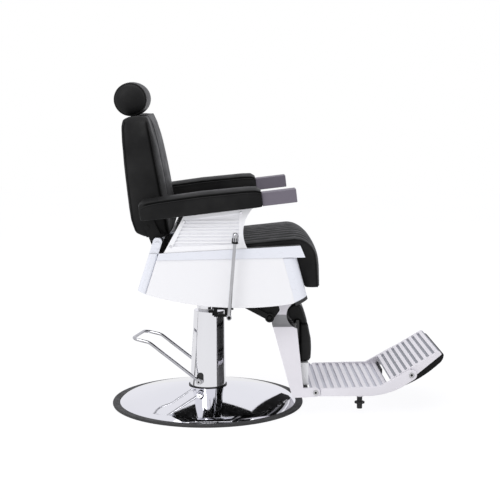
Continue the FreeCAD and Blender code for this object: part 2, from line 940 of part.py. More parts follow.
def make_hinge_posts():
    """Round-topped posts on the rear trims, and the pins that the back turns on."""
    half = post_width / 2
    outer = -tub_half - trim_proud
    round_z = post_top - half
    foot = post_x(post_foot)
    top = post_x(round_z)
    post = side_plate([
        (foot + half, post_foot),
        (top + half, round_z),
        ((top, post_top), (top - half, round_z)),
        (foot - half, post_foot),
    ], outer + rim_wall, outer + post_depth)
    reach = bracket_inner + bracket_wall / 2
    bore = bar_y(hinge_pin_radius + seat_gap, pivot_x, pivot_z, outer, -reach)
    save("hinge_posts", *both(post.cut(bore)))
    pin = bar_y(hinge_pin_radius, pivot_x, pivot_z, outer + rim_wall, -bracket_inner)
    head = bar_y(
        hinge_pin_head, pivot_x, pivot_z, outer + rim_wall - hinge_pin_head_height, outer + rim_wall)
    save("hinge_pins", *both(pin.fuse(head).removeSplitter()))


def arm_line(x):
    """Height of the line where the arm pads rest on the panels."""
    return arm_seat_z + (x - arm_seat_x) * math.tan(math.radians(arm_slope))


def rim_line(x):
    """Height of the rims' upper edge."""
    rear = post_x(rim_rear_top) + post_width / 2
    return rim_rear_top + (x - rear) * (rim_front_top - rim_rear_top) / (rim_front_x - rear)


def panel_waist_z():
    """Height of the waist in the panel's front edge."""
    low = rim_line(panel_waist_x)
    return low + panel_waist_share * (arm_line(panel_waist_x) - low)


def panel_rear_x(height):
    """Slanted rear edge of the arm panel."""
    foot = rim_line(panel_foot_rear_x)
    share = (height - foot) / (arm_line(panel_top_rear_x) - foot)
    return panel_foot_rear_x + share * (panel_top_rear_x - panel_foot_rear_x)


def make_arm_panels():
    """Cast panels with a border and ribs, boards behind them, and screws."""
    outer = -arm_panel_inner - arm_panel_wall
    outline = [
        (panel_foot_rear_x, rim_line(panel_foot_rear_x)),
        (panel_foot_front_x, rim_line(panel_foot_front_x)),
        ((panel_waist_x, panel_waist_z()), (panel_top_front_x, arm_line(panel_top_front_x))),
        (panel_top_rear_x, arm_line(panel_top_rear_x)),
    ]
    panel = side_plate(outline, outer, -arm_panel_inner)
    low = rim_line(panel_foot_front_x) + arm_panel_border
    high = arm_line(panel_top_rear_x) - arm_panel_border
    right = panel_waist_x - arm_panel_border
    field = side_plate([
        (panel_rear_x(low) + arm_panel_border, low - arm_panel_border / 2),
        (right, low),
        (right, arm_line(right) - arm_panel_border),
        (panel_rear_x(high) + arm_panel_border, high),
    ], outer, outer + arm_panel_sink)
    panel = panel.cut(field)
    pitch = (high - low) / arm_rib_count
    for index in range(arm_rib_count):
        foot = low + pitch * (index + 0.25)
        rib = block(panel_foot_rear_x, right, outer + arm_panel_sink - arm_rib_depth,
                    outer + arm_panel_sink, foot, foot + pitch / 2)
        panel = panel.fuse(rib.common(field))
    screws = []
    for x, z in screw_places(low, high, right):
        bore = bar_y(screw_radius + seat_gap, x, z, outer, outer + screw_length)
        panel = panel.cut(bore)
        screws.append(bar_y(screw_radius, x, z, outer - screw_head_height, outer + screw_length))
    save("arm_panel_right", panel.removeSplitter())
    save("arm_panel_left", mirrored(panel.removeSplitter()))
    pairs = []
    for screw in screws:
        pairs.extend(both(screw))
    save("arm_screws", *pairs)
    show = arm_board_show
    board_rear_foot = post_x(post_foot) + post_width
    board = side_plate([
        (board_rear_foot + show, rim_line(board_rear_foot + show)),
        (panel_foot_front_x - show, rim_line(panel_foot_front_x - show)),
        ((panel_waist_x - show, panel_waist_z()),
         (panel_top_front_x - show, arm_line(panel_top_front_x - show))),
        (panel_top_rear_x - show, arm_line(panel_top_rear_x - show)),
    ], -arm_panel_inner, -arm_panel_inner + arm_board_wall)
    save("arm_boards", *both(board))


def screw_places(low, high, right):
    """Screw centres in the arm panel's border."""
    half = arm_panel_border / 2
    return [
        (right + half, arm_line(right + half) - arm_panel_border),
        (panel_rear_x(high) + half, high - half),
        (panel_rear_x(low) + half, low - half),
    ]


def arm_frame(along, side, up):
    """A point of the arm in its sloping frame: along it, outwards and up from its seat."""
    slope = math.radians(arm_slope)
    return V(
        arm_seat_x + along * math.cos(slope) - up * math.sin(slope),
        -arm_centre - side,
        arm_seat_z + along * math.sin(slope) + up * math.cos(slope),
    )


def pad_section(along, half, height, crown):
    """One crowned section across the arm pad."""
    return [
        arm_frame(along, half - pad_tuck, 0),
        (arm_frame(along, half + pad_tuck / 4, height / 2), arm_frame(along, half, height)),
        (arm_frame(along, 0, height + crown), arm_frame(along, -half, height)),
        (arm_frame(along, -half - pad_tuck / 4, height / 2), arm_frame(along, -half + pad_tuck, 0)),
    ]


def make_arm_pads():
    """Upholstered pads with a hand grip let into their front ends."""
    slope = math.radians(arm_slope)
    rear = (pad_rear_x - arm_seat_x) / math.cos(slope)
    front = (pad_front_x - arm_seat_x) / math.cos(slope)
    half = pad_width / 2
    end = pad_tuck * 3
    pad = loft([
        pad_section(rear, half - pad_tuck * 2, pad_height - pad_fall, pad_crown / 2),
        pad_section(rear + end, half - pad_tuck / 2, pad_height - pad_fall / 2, pad_crown),
        pad_section(rear + end * 3, half, pad_height - pad_fall / 4, pad_crown),
        pad_section((rear + front) / 2, half, pad_height, pad_crown),
        pad_section(front - end * 3, half, pad_height - pad_fall / 4, pad_crown),
        pad_section(front - end, half - pad_tuck / 2, pad_height - pad_fall / 2, pad_crown),
        pad_section(front, half - pad_tuck, pad_height - pad_fall, pad_crown / 2),
    ])
    grip = arm_block(front, front + grip_length, grip_width, grip_rise, grip_rise + grip_height)
    grip = grip.makeFillet(grip_round, grip.Edges)
    tongue_up = grip_rise + (grip_height - grip_tongue_height) / 2
    tongue = arm_block(front - grip_tongue, front + grip_length / 2, grip_tongue_width,
                       tongue_up, tongue_up + grip_tongue_height)
    pocket = arm_block(front - grip_tongue - soft_gap, front + soft_gap,
                       grip_tongue_width + 2 * soft_gap, tongue_up - soft_gap,
                       tongue_up + grip_tongue_height + soft_gap)
    pad = pad.cut(pocket)
    save("arm_pad_right", pad)
    save("arm_pad_left", mirrored(pad))
    save("hand_grips", *both(grip.fuse(tongue)))


def arm_block(start, end, width, low, high):
    """A square bar in the arm's sloping frame."""
    half = width / 2
    corners = [arm_frame(start, half, low), arm_frame(start, -half, low),
               arm_frame(start, -half, high), arm_frame(start, half, high)]
    return Part.Face(wire(corners)).extrude(arm_frame(end, half, low) - arm_frame(start, half, low))


def seat_section(top, low, half, puff):
    """One section across the seat: sewn channels on top, sides drawn in below."""
    rise = V(top[0] - low[0], 0, top[1] - low[1])
    depth = rise.Length
    rise = rise.normalize()
    middle = V(top[0], 0, top[1])

    def place(y, up):
        return middle + V(0, y, 0) + rise * up

    path = [place(-half + seat_tuck, -depth)]
    path.append((place(-half - seat_swell, -depth / 2), place(-half, 0)))
    width = 2 * half / seat_channels
    for index in range(seat_channels):
        start = -half + index * width
        end = start + width
        crown_mid = seat_crown * (1 - ((start + width / 2) / half) ** 2)
        crown_end = seat_crown * (1 - (end / half) ** 2)
        path.append((place(start + width / 2, crown_mid + puff), place(end, crown_end)))
    path.append((place(half + seat_swell, -depth / 2), place(half - seat_tuck, -depth)))
    return path


def make_seat():
    """Plywood board and the channelled cushion that falls over its front edge."""
    board = block(seat_board_rear, seat_board_front, -seat_half + seat_tuck, seat_half - seat_tuck,
                  tube_top, board_top)
    save("seat_board", board)
    flap_rear = flap_front_x - flap_depth
    inner_x = seat_board_front + seat_tuck / 8
    stations = [((seat_rear_x, seat_rear_z), (seat_rear_x + seat_tuck, board_top))]
    stations.append(((seat_bend_x, seat_bend_z), (inner_x, board_top)))
    for index in range(1, bend_steps + 1):
        angle = math.radians(90 * index / bend_steps)
        across = math.sin(angle)
        down = 1 - math.cos(angle)
        top = (seat_bend_x + bend_run * across, seat_bend_z - bend_drop * down)
        low = (inner_x + inner_bend_run * down, board_top - inner_bend_drop * across)
        stations.append((top, low))
    stations.append(((flap_front_x, flap_low), (flap_rear, flap_low)))
    sections = []
    last = len(stations) - 1
    for index, (top, low) in enumerate(stations):
        at_end = index in (0, last)
        half = seat_half - (seat_tuck if at_end else 0)
        sections.append(seat_section(top, low, half, channel_puff))
    save("seat_cushion", loft(sections))


def make_side_lever():
    """Bearing block, cross shaft, rod and knob of the side lever."""
    low = side_shaft_z - bearing_half
    bearing = block(side_shaft_x - bearing_half, side_shaft_x + bearing_half,
                    -bearing_outer, -bearing_inner, low, plate_low)
    back = -bearing_inner - release_wall
    plate = block(release_rear_x, release_front_x, back, -bearing_inner, release_low, plate_low)
    plate = plate.cut(block(release_rear_x + release_frame, release_front_x - release_frame,
                            back, -bearing_inner, release_window_low, release_window_high))
    claw = block(release_rear_x - release_claw, release_rear_x, back, -bearing_inner,
                 release_claw_low, release_claw_low + release_claw_height)
    bearing = bearing.fuse(plate).fuse(claw)
    shaft_hole = side_shaft_radius + running_gap
    bearing = bearing.cut(bar_y(shaft_hole, side_shaft_x, side_shaft_z, -bearing_outer, -bearing_inner))
    save("lever_bearing", bearing.removeSplitter())
    hub_inner = side_lever_y - side_hub_width / 2
    hub_outer = side_lever_y + side_hub_width / 2
    collar = side_hub_radius / 2
    shaft = bar_y(side_shaft_radius, side_shaft_x, side_shaft_z, -hub_outer, -bearing_inner + collar)
    save("lever_shaft", shaft)
    hub = bar_y(side_hub_radius, side_shaft_x, side_shaft_z, -hub_outer, -hub_inner)
    foot = V(side_shaft_x, -side_lever_y, side_shaft_z)
    top = V(side_rod_top_x, -side_lever_y, side_rod_top_z)
    axis = (top - foot).normalize()
    socket = top + axis * (knob_length / 2)
    rod = hub.fuse(cylinder(side_rod_radius, foot, socket))
    rod = rod.cut(bar_y(side_shaft_radius + seat_gap, side_shaft_x, side_shaft_z, -hub_outer, -hub_inner))
    save("lever_rod", rod)
    shoulder = knob_length - knob_radius
    collar_radius = side_rod_radius + knob_collar
    knob = turned([
        V(0, 0, 0),
        V(collar_radius, 0, 0),
        V(knob_radius, 0, knob_radius / 2),
        V(knob_radius, 0, shoulder),
        (V(knob_radius * math.sqrt(0.5), 0, shoulder + knob_radius * math.sqrt(0.5)),
         V(0, 0, knob_length)),
    ], V(0, 0, 0), V(0, 0, 1))
    lean = math.degrees(math.atan2(axis.x, axis.z))
    knob.rotate(V(0, 0, 0), V(0, 1, 0), lean)
    knob.translate(top)
    knob = knob.cut(cylinder(side_rod_radius + seat_gap, foot, socket))
    save("lever_knob", knob)


def board_x(height):
    """Rear face of the tilted back board."""
    return board_foot_x + (height - back_low) * board_tilt()


def board_tilt():
    """Run of the back board for each millimetre up."""
    return (board_top_x - board_foot_x) / (board_top_z - back_low)


def back_section(rear, front, half, crown):
    """One section across the back: flat rear, drawn sides, bordered and crowned front."""
    ahead = V(front[0] - rear[0], 0, front[1] - rear[1])
    depth = ahead.Length
    ahead = ahead.normalize()
    start = V(rear[0], 0, rear[1])

    def place(y, reach):
        return start + V(0, y, 0) + ahead * reach

    corner = back_corner_round
    turn = corner * (1 - math.sqrt(0.5))
    inset = half - back_border
    lift_there = back_border_lift * crown / back_crown
    return [
        place(-half + corner, 0),
        place(half - corner, 0),
        (place(half - turn, turn), place(half, corner)),
        (place(half - back_corner_round / 6, depth / 2), place(half, depth)),
        (place(half - back_border / 3, depth + lift_there), place(inset, depth + lift_there)),
        (place(0, depth + crown), place(-inset, depth + lift_there)),
        (place(-half + back_border / 3, depth + lift_there), place(-half, depth)),
        (place(-half + back_corner_round / 6, depth / 2), place(-half, corner)),
        (place(-half + turn, turn), place(-half + corner, 0)),
    ]


def make_back():
    """Board, upholstery round it, hinge brackets and the headrest's guide."""
    board_low_front = board_x(back_low) + board_wall
    board = side_plate([
        (board_x(back_low), back_low),
        (board_low_front, back_low),
        (board_x(board_top_z) + board_wall, board_top_z),
        (board_x(board_top_z), board_top_z),
    ], -board_half, board_half)
    heel = back_low + back_heel_rise
    span_rear = back_top_rear_z - heel
    stations = [back_section(
        (back_low_rear_x, back_low), (back_low_front_x, back_low),
        back_half - back_corner_round / 2, back_crown / 4)]
    # Share of the height, how far the sides draw in, and share of the full crown
    shares = ((0.0, 0.0, 0.6), (0.12, 0.0, 0.9), (0.5, 0.0, 1.0), (0.8, 0.0, 0.9), (0.95, 0.2, 0.6))
    for share, tuck, crown in shares:
        rear_z = heel + share * span_rear
        front_z = heel + share * (back_top_front_z - heel)
        rear_there = back_heel_rear_x + (back_shoulder_rear_x - back_heel_rear_x) * share ** back_rear_bow
        front_there = back_heel_front_x + (back_shoulder_front_x - back_heel_front_x) * share
        stations.append(back_section(
            (rear_there, rear_z), (front_there, front_z),
            back_half - tuck * back_corner_round, back_crown * crown))
    stations.append(back_section(
        (back_top_rear_x, back_top_rear_z), (back_top_front_x, back_top_front_z),
        back_half - back_corner_round, back_crown / 6))
    body = loft(stations)
    slot_low = back_low - back_heel_rise
    slot = side_plate([
        (board_x(slot_low) - soft_gap, slot_low),
        (board_x(slot_low) + board_wall + soft_gap, slot_low),
        (board_x(board_top_z) + board_wall + soft_gap, board_top_z + soft_gap),
        (board_x(board_top_z) - soft_gap, board_top_z + soft_gap),
    ], -board_half - soft_gap, board_half + soft_gap)
    guide_solid, guide, bar = headrest_guide()
    body = body.cut(slot).cut(guide_solid)
    make_brackets(board, body)
    save("headrest_guide", guide)
    save("headrest_post", bar)


def tilted(shape, height):
    """Turn an upright piece to the back board's tilt and put it behind the board."""
    tilt = math.degrees(math.atan(board_tilt()))
    shape.rotate(V(0, 0, 0), V(0, 1, 0), tilt)
    depth = post_bar_wall / 2 + guide_wall + running_gap + seat_gap
    shape.translate(V(board_x(height) - depth / math.cos(math.radians(tilt)), 0, height))
    return shape


def headrest_guide():
    """Square guide in the back and the flat bar that slides in it."""
    tilt = math.cos(math.atan(board_tilt()))
    half_x = post_bar_wall / 2 + running_gap + guide_wall
    half_y = post_bar_width / 2 + running_gap + guide_wall
    top = (back_top_rear_z - board_top_z) / tilt
    shell = block(-half_x, half_x, -half_y, half_y, top - guide_length, top)
    room = block(-half_x - soft_gap, half_x + soft_gap, -half_y - soft_gap, half_y + soft_gap,
                 top - guide_length - soft_gap, top + guide_length)
    bore_x = post_bar_wall / 2 + running_gap
    bore_y = post_bar_width / 2 + running_gap
    bore = block(-bore_x, bore_x, -bore_y, bore_y, top - guide_length, top)
    bar_top = (post_bar_top - board_top_z) / tilt
    bar = block(-post_bar_wall / 2, post_bar_wall / 2, -post_bar_width / 2, post_bar_width / 2,
                bar_top - post_bar_length, bar_top)
    guide = tilted(shell.cut(bore), board_top_z)
    return tilted(room, board_top_z), guide, tilted(bar, board_top_z)


def make_brackets(board, body):
    """Hinge brackets on both sides of the back; the right one carries the crank."""
    upper = side_plate(strap([
        (pivot_x, pivot_z, bracket_round), (bracket_top_x, bracket_top_z, bracket_top_round),
    ]), -bracket_inner - bracket_wall, -bracket_inner)
    crank_z = pivot_z - crank_drop
    lower = side_plate(strap([
        (pivot_x, crank_z, crank_round), (pivot_x, pivot_z, bracket_round),
    ]), -bracket_inner - bracket_wall, -bracket_inner)
    pin_bore = bar_y(hinge_pin_radius + running_gap, pivot_x, pivot_z, -tub_half, 0)
    bolts = []
    bracket = upper
    for height in back_bolt_heights:
        x = board_x(height) + board_wall / 2
        boss = bar_y(boss_radius, x, height, -bracket_inner, -board_half)
        body = body.cut(bar_y(boss_radius + soft_gap, x, height, -bracket_inner, -board_half))
        body = body.cut(bar_y(boss_radius + soft_gap, x, height, board_half, bracket_inner))
        hole = bar_y(bolt_radius + seat_gap, x, height, -tub_half, -board_half + boss_radius * 4)
        board = board.cut(hole).cut(mirrored(hole))
        bracket = bracket.fuse(boss).cut(hole)
        outer = bracket_inner + bracket_wall
        shank = bar_y(bolt_radius, x, height, -outer, -board_half + boss_radius * 3)
        head = bar_y(bolt_head_radius, x, height, -outer - bolt_head_height / 2, -outer)
        bolts.extend(both(shank.fuse(head).removeSplitter()))
    save("back_bracket_left", mirrored(bracket.cut(pin_bore)))
    crank_end = link_inner + link_wall
    crank_pin = bar_y(crank_pin_radius, pivot_x, crank_z, -crank_end, -bracket_inner - bracket_wall / 2)
    bracket = bracket.fuse(lower).cut(pin_bore).fuse(crank_pin)
    save("back_bracket_right", bracket.removeSplitter())
    save("back_bolts", *bolts)
    save("back_board", board)
    save("back_cushion", body)


def make_headrest_roll():
    """Round bolster on the sliding bar, with slightly domed ends."""
    edge = roll_end_round
    shoulder = roll_half - edge
    turn = edge * math.sqrt(0.5)
    low = roll_end_radius - edge
    ball = (low ** 2 + roll_end_dome ** 2) / (2 * roll_end_dome)
    half_angle = math.asin(low / ball) / 2
    dome_y = roll_half + roll_end_dome - ball + ball * math.cos(half_angle)
    dome_radius = ball * math.sin(half_angle)

    def place(y, radius):
        return V(roll_x + radius, y, roll_z)

    roll = turned([
        place(-roll_half - roll_end_dome, 0),
        (place(-dome_y, dome_radius), place(-roll_half, low)),
        (place(-shoulder - turn, low + turn), place(-shoulder, roll_end_radius)),
        (place(0, roll_radius), place(shoulder, roll_end_radius)),
        (place(shoulder + turn, low + turn), place(roll_half, low)),
        (place(dome_y, dome_radius), place(roll_half + roll_end_dome, 0)),
    ], V(roll_x, 0, roll_z), V(0, 1, 0))
    tilt = math.cos(math.atan(board_tilt()))
    half_x = post_bar_wall / 2 + soft_gap
    half_y = post_bar_width / 2 + soft_gap
    top = (post_bar_top - board_top_z) / tilt + soft_gap
    pocket = tilted(block(-half_x, half_x, -half_y, half_y, 0, top), board_top_z)
    save("headrest_roll", roll.cut(pocket))


def make_link():
    """Flat rod from the back's crank to the footrest's crank."""
    crank_z = pivot_z - crank_drop
    rear = -link_inner - link_wall
    front = -link_inner
    tail_eye = crank_pin_radius + link_free_play
    rod = side_plate(strap([
        (pivot_x, crank_z, link_width / 2), (swing_tail_x, swing_tail_z, link_width / 2),
    ]), rear, front)
    eyes = [
        (pivot_x, crank_z, crank_pin_radius + running_gap),
        (swing_tail_x, swing_tail_z, tail_eye),
    ]
    for x, z, bore in eyes:
        rod = rod.fuse(bar_y(bore + link_eye_wall, x, z, rear, front))
    for x, z, bore in eyes:
        rod = rod.cut(bar_y(bore, x, z, rear, front))
    save("link_rod", rod.removeSplitter())


def make_swing():
    """Cross shaft, black arms to the legs, and the crank that the link pushes."""
    crank_outer = bracket_inner + bracket_wall
    shaft = bar_y(swing_shaft_radius, swing_x, swing_z, -crank_outer, swing_shaft_left)
    save("swing_shaft", shaft)
    arm = side_plate(strap([
        (swing_x, swing_z, swing_hub_radius), (swing_nose_x, swing_nose_z, swing_nose_radius),
    ]), -swing_arm_inner - swing_arm_wall, -swing_arm_inner)
    bore = swing_shaft_radius + seat_gap
    arm = arm.cut(bar_y(bore, swing_x, swing_z, -tub_half, 0))
    for x, z in leg_bolt_places():
        arm = arm.cut(bar_y(leg_bolt_radius + seat_gap, x, z, -tub_half, 0))
    save("swing_arms", *both(arm))
    corners = [
        (swing_x, swing_z, swing_hub_radius),
        (swing_heel_x, swing_heel_z, swing_heel_radius),
        (swing_tail_x, swing_tail_z, swing_tail_radius),
        (swing_lobe_x, swing_lobe_z, swing_lobe_radius),
    ]
    crank = side_plate([(x, z) for x, z, radius in corners], -crank_outer, -bracket_inner)
    for index in range(len(corners)):
        flank = strap([corners[index - 1], corners[index]])
        crank = crank.fuse(side_plate(flank, -crank_outer, -bracket_inner))
    crank = crank.cut(bar_y(bore, swing_x, swing_z, -tub_half, 0))
    pin = bar_y(crank_pin_radius, swing_tail_x, swing_tail_z,
                -link_inner - link_wall, -bracket_inner - bracket_wall / 2)
    save("crank_arm", crank.fuse(pin).removeSplitter())


def leg_bolt_places():
    """Two bolts that hold each leg to its swing arm."""
    second = (swing_nose_x - leg_bolt_step_x, swing_nose_z + leg_bolt_step_z)
    return [(swing_nose_x, swing_nose_z), second]


def make_legs():
    """Cast legs with a joggle below the swing arms and a foot at the bottom."""
    outer = leg_outer
    step = leg_outer - swing_arm_inner - swing_arm_wall - leg_wall
    top = swing_z
    profile = [
        (-outer, 0.0),
        (-outer + leg_wall, 0.0),
        (-outer + leg_wall, leg_joggle_low),
        (-outer + leg_wall + step, leg_joggle_high),
        (-outer + leg_wall + step, top),
        (-outer + step, top),
        (-outer + step, leg_joggle_high),
        (-outer, leg_joggle_low),
    ]
    strip = Part.Face(wire([V(0, y, z) for y, z in profile])).extrude(V(base_radius * 2, 0, 0))
    outline = side_plate([
        (leg_top_rear_x, leg_top_z),
        (leg_top_front_x, leg_top_z),
        (leg_neck_front_x, leg_neck_z),
        ((leg_throat_front_x, leg_throat_z), (leg_knee_front_x, leg_knee_z)),
        (leg_ankle_front_x, foot_bolt_z + foot_round),
        (foot_bolt_x, foot_bolt_z + foot_round),
        ((foot_bolt_x + foot_round, foot_bolt_z), (foot_bolt_x, foot_bolt_z - foot_round)),
        (leg_heel_x, foot_bolt_z - foot_round - leg_heel_drop),
        (leg_knee_rear_x, leg_knee_z),
        ((leg_throat_rear_x, leg_throat_z), (leg_neck_rear_x, leg_neck_z)),
    ], -tub_half, 0)
    leg = strip.common(outline)
    bolts = []
    flat_outer = outer - step
    for x, z in leg_bolt_places():
        leg = leg.cut(bar_y(leg_bolt_radius + seat_gap, x, z, -tub_half, 0))
        shank = bar_y(leg_bolt_radius, x, z, -flat_outer, -swing_arm_inner)
        head = bar_y(leg_bolt_head, x, z, -flat_outer - leg_bolt_head_height, -flat_outer)
        bolts.extend(both(shank.fuse(head).removeSplitter()))
    leg = leg.cut(bar_y(leg_bolt_radius + seat_gap, foot_bolt_x, foot_bolt_z, -tub_half, 0))
    shank = bar_y(leg_bolt_radius, foot_bolt_x, foot_bolt_z, -outer, -outer + leg_wall + foot_lug_wall)
    head = bar_y(leg_bolt_head, foot_bolt_x, foot_bolt_z, -outer - leg_bolt_head_height, -outer)
    bolts.extend(both(shank.fuse(head).removeSplitter()))
    save("leg_right", leg)
    save("leg_left", mirrored(leg))
    save("leg_bolts", *bolts)
    inner = outer - leg_wall
    upper_x = calf_board_rear - bar_radius - seat_gap
    lower_x = calf_lip_rear - bar_radius - seat_gap
    bars = [bar_y(bar_radius, upper_x, upper_bar_z, -inner, inner)]
    bars.append(bar_y(bar_radius, lower_x, lower_bar_z, -inner, inner))
    save("leg_bars", *bars)


def calf_outline(inset):
    """Side outline of the calf pad: a roll over a flatter pad."""
    rear = calf_board_rear + calf_board_thin + soft_gap + inset
    behind = calf_board_rear - soft_gap - inset
    front = calf_front - inset
    roll = calf_roll_radius - inset
    waist = calf_board_high - calf_roll_radius / 2
    low = calf_board_step + soft_gap + inset
    turn = calf_end_round * (1 - math.sqrt(0.5))

    def on_roll(degrees):
        return around(calf_roll_x, calf_roll_z, roll, degrees)

    return [
        (rear, low),
        (front - calf_end_round, low),
        ((front - turn, low + turn), (front, low + calf_end_round)),
        ((front + calf_belly, (low + waist) / 2), (front - calf_waist_pinch, waist)),
        on_roll(calf_roll_start),
        (on_roll((calf_roll_start + calf_roll_top) / 2), on_roll(calf_roll_top)),
        (on_roll((calf_roll_top + calf_roll_end) / 2), on_roll(calf_roll_end)),
        (behind, calf_wrap_low + inset),
        (behind, calf_board_high + soft_gap),
        (rear, calf_board_high + soft_gap),
    ]


def make_calf():
    """White board between the legs and the pad on it."""
    front = calf_board_rear + calf_board_thin
    board = side_plate([
        (calf_lip_rear, calf_board_low),
        (calf_lip_front, calf_board_low),
        (calf_lip_front, calf_board_step),
        (front, calf_board_step),
        (front, calf_board_high),
        (calf_board_rear, calf_board_high),
        (calf_board_rear, calf_board_step - calf_board_thin),
        (calf_lip_rear, calf_board_step - calf_board_thin),
    ], -calf_board_half, calf_board_half)
    save("calf_board", board)
    end = calf_half - calf_end_round
    places = ((-calf_half, calf_end_tuck), (-end, 0.0), (end, 0.0), (calf_half, calf_end_tuck))
    sections = []
    for y, inset in places:
        sections.append([lift(item, lambda x, z: V(x, y, z)) for item in calf_outline(inset)])
    save("calf_pad", loft(sections))


def make_footplate():
    """Ribbed casting between side flanges that rise to the flip plate's pins."""
    inner = foot_half - foot_flange
    start_x = foot_bolt_x + foot_round + foot_gap
    crest = foot_top + foot_rib_height
    flange = side_plate([
        (start_x, foot_low),
        (flip_x - foot_bend_back, foot_low),
        ((flip_x - foot_curve_back, foot_low + foot_curve_rise),
         (flip_x - foot_nose_back, flip_z - foot_nose_drop)),
        around(flip_x, flip_z, flip_end_radius, flip_end_angle - 90),
        (around(flip_x, flip_z, flip_end_radius, flip_end_angle),
         around(flip_x, flip_z, flip_end_radius, flip_end_angle + 90)),
        (flip_x - foot_shoulder_back, crest + foot_shoulder_rise),
        (start_x, crest),
    ], -foot_half, -inner)
    lug = side_plate([
        (foot_bolt_x, foot_bolt_z - foot_round),
        (foot_bolt_x + foot_round * 3, foot_bolt_z - foot_round),
        (foot_bolt_x + foot_round * 3, foot_top),
        (foot_bolt_x, foot_top),
        (around(foot_bolt_x, foot_bolt_z, foot_round, 180), (foot_bolt_x, foot_bolt_z - foot_round)),
    ], -inner, -inner + foot_lug_wall)
    flange = flange.cut(bar_y(flip_pin_radius + seat_gap, flip_x, flip_z, -foot_half, 0))
    plate = block(foot_rear, foot_front, -inner, inner, foot_top - foot_plate_wall, foot_top)
    plate = plate.fuse(flange.fuse(lug)).fuse(mirrored(flange.fuse(lug)))
    pitch = (foot_front - foot_rear) / foot_rib_count
    for index in range(foot_rib_count):
        start = foot_rear + pitch * (index + 0.5) - foot_rib_width / 2
        plate = plate.fuse(block(start, start + foot_rib_width, -inner, inner,
                                 foot_top, crest))
    for side in (-1, 1):
        y = side * bumper_y
        plate = plate.fuse(bar_z(bumper_boss_radius, bumper_x, y, bumper_boss_low, foot_top))
    for side in (-1, 1):
        y = side * inner
        plate = plate.cut(bar_y(leg_bolt_radius + seat_gap, foot_bolt_x, foot_bolt_z,
                                y - foot_lug_wall, y + foot_lug_wall))
    save("footplate", plate.removeSplitter())
    feet = []
    for side in (-1, 1):
        y = side * bumper_y
        stem = bar_z(bumper_radius, bumper_x, y, bumper_clear, bumper_boss_low)
        collar = bar_z(bumper_flange_radius, bumper_x, y, bumper_flange_z,
                       bumper_flange_z + bumper_flange_height)
        feet.append(stem.fuse(collar))
    feet.append(block(foot_front + seat_gap, foot_front + flip_stop_length, inner - flip_stop_width, inner,
                      foot_top - foot_plate_wall, flip_stop_top))
    lip_stop = calf_lip_rear + lip_stop_inset
    feet.extend(both(block(lip_stop, lip_stop + lip_stop_length, -inner, -inner + lip_stop_width,
                           calf_board_low - lip_stop_height, calf_board_low - seat_gap)))
    save("bumper_feet", *feet)


def flip_point(along, y, up):
    """A point of the flip plate from its pins, along its slope and square to it."""
    slope = math.radians(flip_slope)
    return V(
        flip_x + along * math.cos(slope) - up * math.sin(slope),
        y,
        flip_z + along * math.sin(slope) + up * math.cos(slope),
    )


def flip_plate_solid(path, y_low, y_high):
    """A plate from an outline in the flip plate's own frame."""
    outline = wire([lift(item, lambda along, up: flip_point(along, y_low, up)) for item in path])
    return Part.Face(outline).extrude(V(0, y_high - y_low, 0))


def make_flip():
    """Ribbed flip plate with side flanges, a pad under it and two pins."""
    inner = flip_half - flip_flange
    low = flip_top - flip_wall
    slab = flip_plate_solid([
        (-flip_inner, low), (flip_outer, low), (flip_outer, flip_top), (-flip_inner, flip_top),
    ], -inner, inner)
    crest = flip_top + flip_rib_height
    side = flip_plate_solid([
        (-flip_inner, low),
        (-flip_inner / 2, -flip_flange_low),
        (flip_end_radius, -flip_flange_low),
        (flip_outer, flip_flange_tip),
        (flip_outer, flip_top),
        (flip_outer - flip_rib_height, crest),
        (-flip_inner, crest),
    ], -flip_half, -inner)
    side = side.cut(bar_y(flip_pin_radius + running_gap, flip_x, flip_z, -foot_half, 0))
    plate = slab.fuse(side).fuse(mirrored(side))
    pitch = (flip_outer + flip_inner) / flip_rib_count
    for index in range(flip_rib_count):
        start = -flip_inner + pitch * (index + 0.5) - flip_rib_width / 2
        plate = plate.fuse(flip_plate_solid([
            (start, flip_top), (start + flip_rib_width, flip_top),
            (start + flip_rib_width, crest), (start, crest),
        ], -inner, inner))
    save("flip_plate", plate.removeSplitter())
    pins = []
    pin = bar_y(flip_pin_radius, flip_x, flip_z, -foot_half, -inner)
    head = bar_y(flip_pin_head, flip_x, flip_z, -foot_half - flip_pin_head_height, -foot_half)
    pins.extend(both(pin.fuse(head).removeSplitter()))
    save("flip_pins", *pins)
    make_flip_pad(inner, low)


def make_flip_pad(inner, low):
    """Crowned pad that fills the underside of the flip plate."""
    half = inner - soft_gap
    top = low - soft_gap
    sections = []
    for y, tuck in ((-half, flip_pad_tuck), (-half + flip_pad_edge, 0.0),
                    (half - flip_pad_edge, 0.0), (half, flip_pad_tuck)):
        bottom = -flip_pad_low + tuck
        path = [
            (-flip_pad_inner, top),
            (-flip_pad_inner, -flip_pad_heel + tuck),
            ((flip_pad_middle, bottom), (flip_pad_shoulder, -flip_pad_shoulder_low + tuck)),
            ((flip_pad_outer - flip_pad_edge / 2, -flip_pad_edge + tuck / 2), (flip_pad_outer, 0.0)),
            (flip_pad_outer - flip_pad_edge / 2, top),
        ]
        sections.append([lift(item, lambda along, up: flip_point(along, y, up)) for item in path])
    save("flip_pad", loft(sections))


os.makedirs("parts", exist_ok=True)
make_base()
make_pump()
make_foot_lever()
make_piston()
make_mount()
make_frame()
make_tub()
make_hinge_posts()
make_arm_panels()
make_arm_pads()
make_seat()
make_side_lever()
make_back()
make_headrest_roll()
make_link()
make_swing()
make_legs()
make_calf()
make_footplate()
make_flip()
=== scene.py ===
"""Looks of the hairdressing chair: finishes for every CAD node, upholstery made by cloth simulation,
piping, small turned details, a pale floor, soft studio light and the photograph's camera.

Metres throughout. +X is the chair's front, -Y the sitter's right, +Z up, origin on the floor.
"""

import json
import math

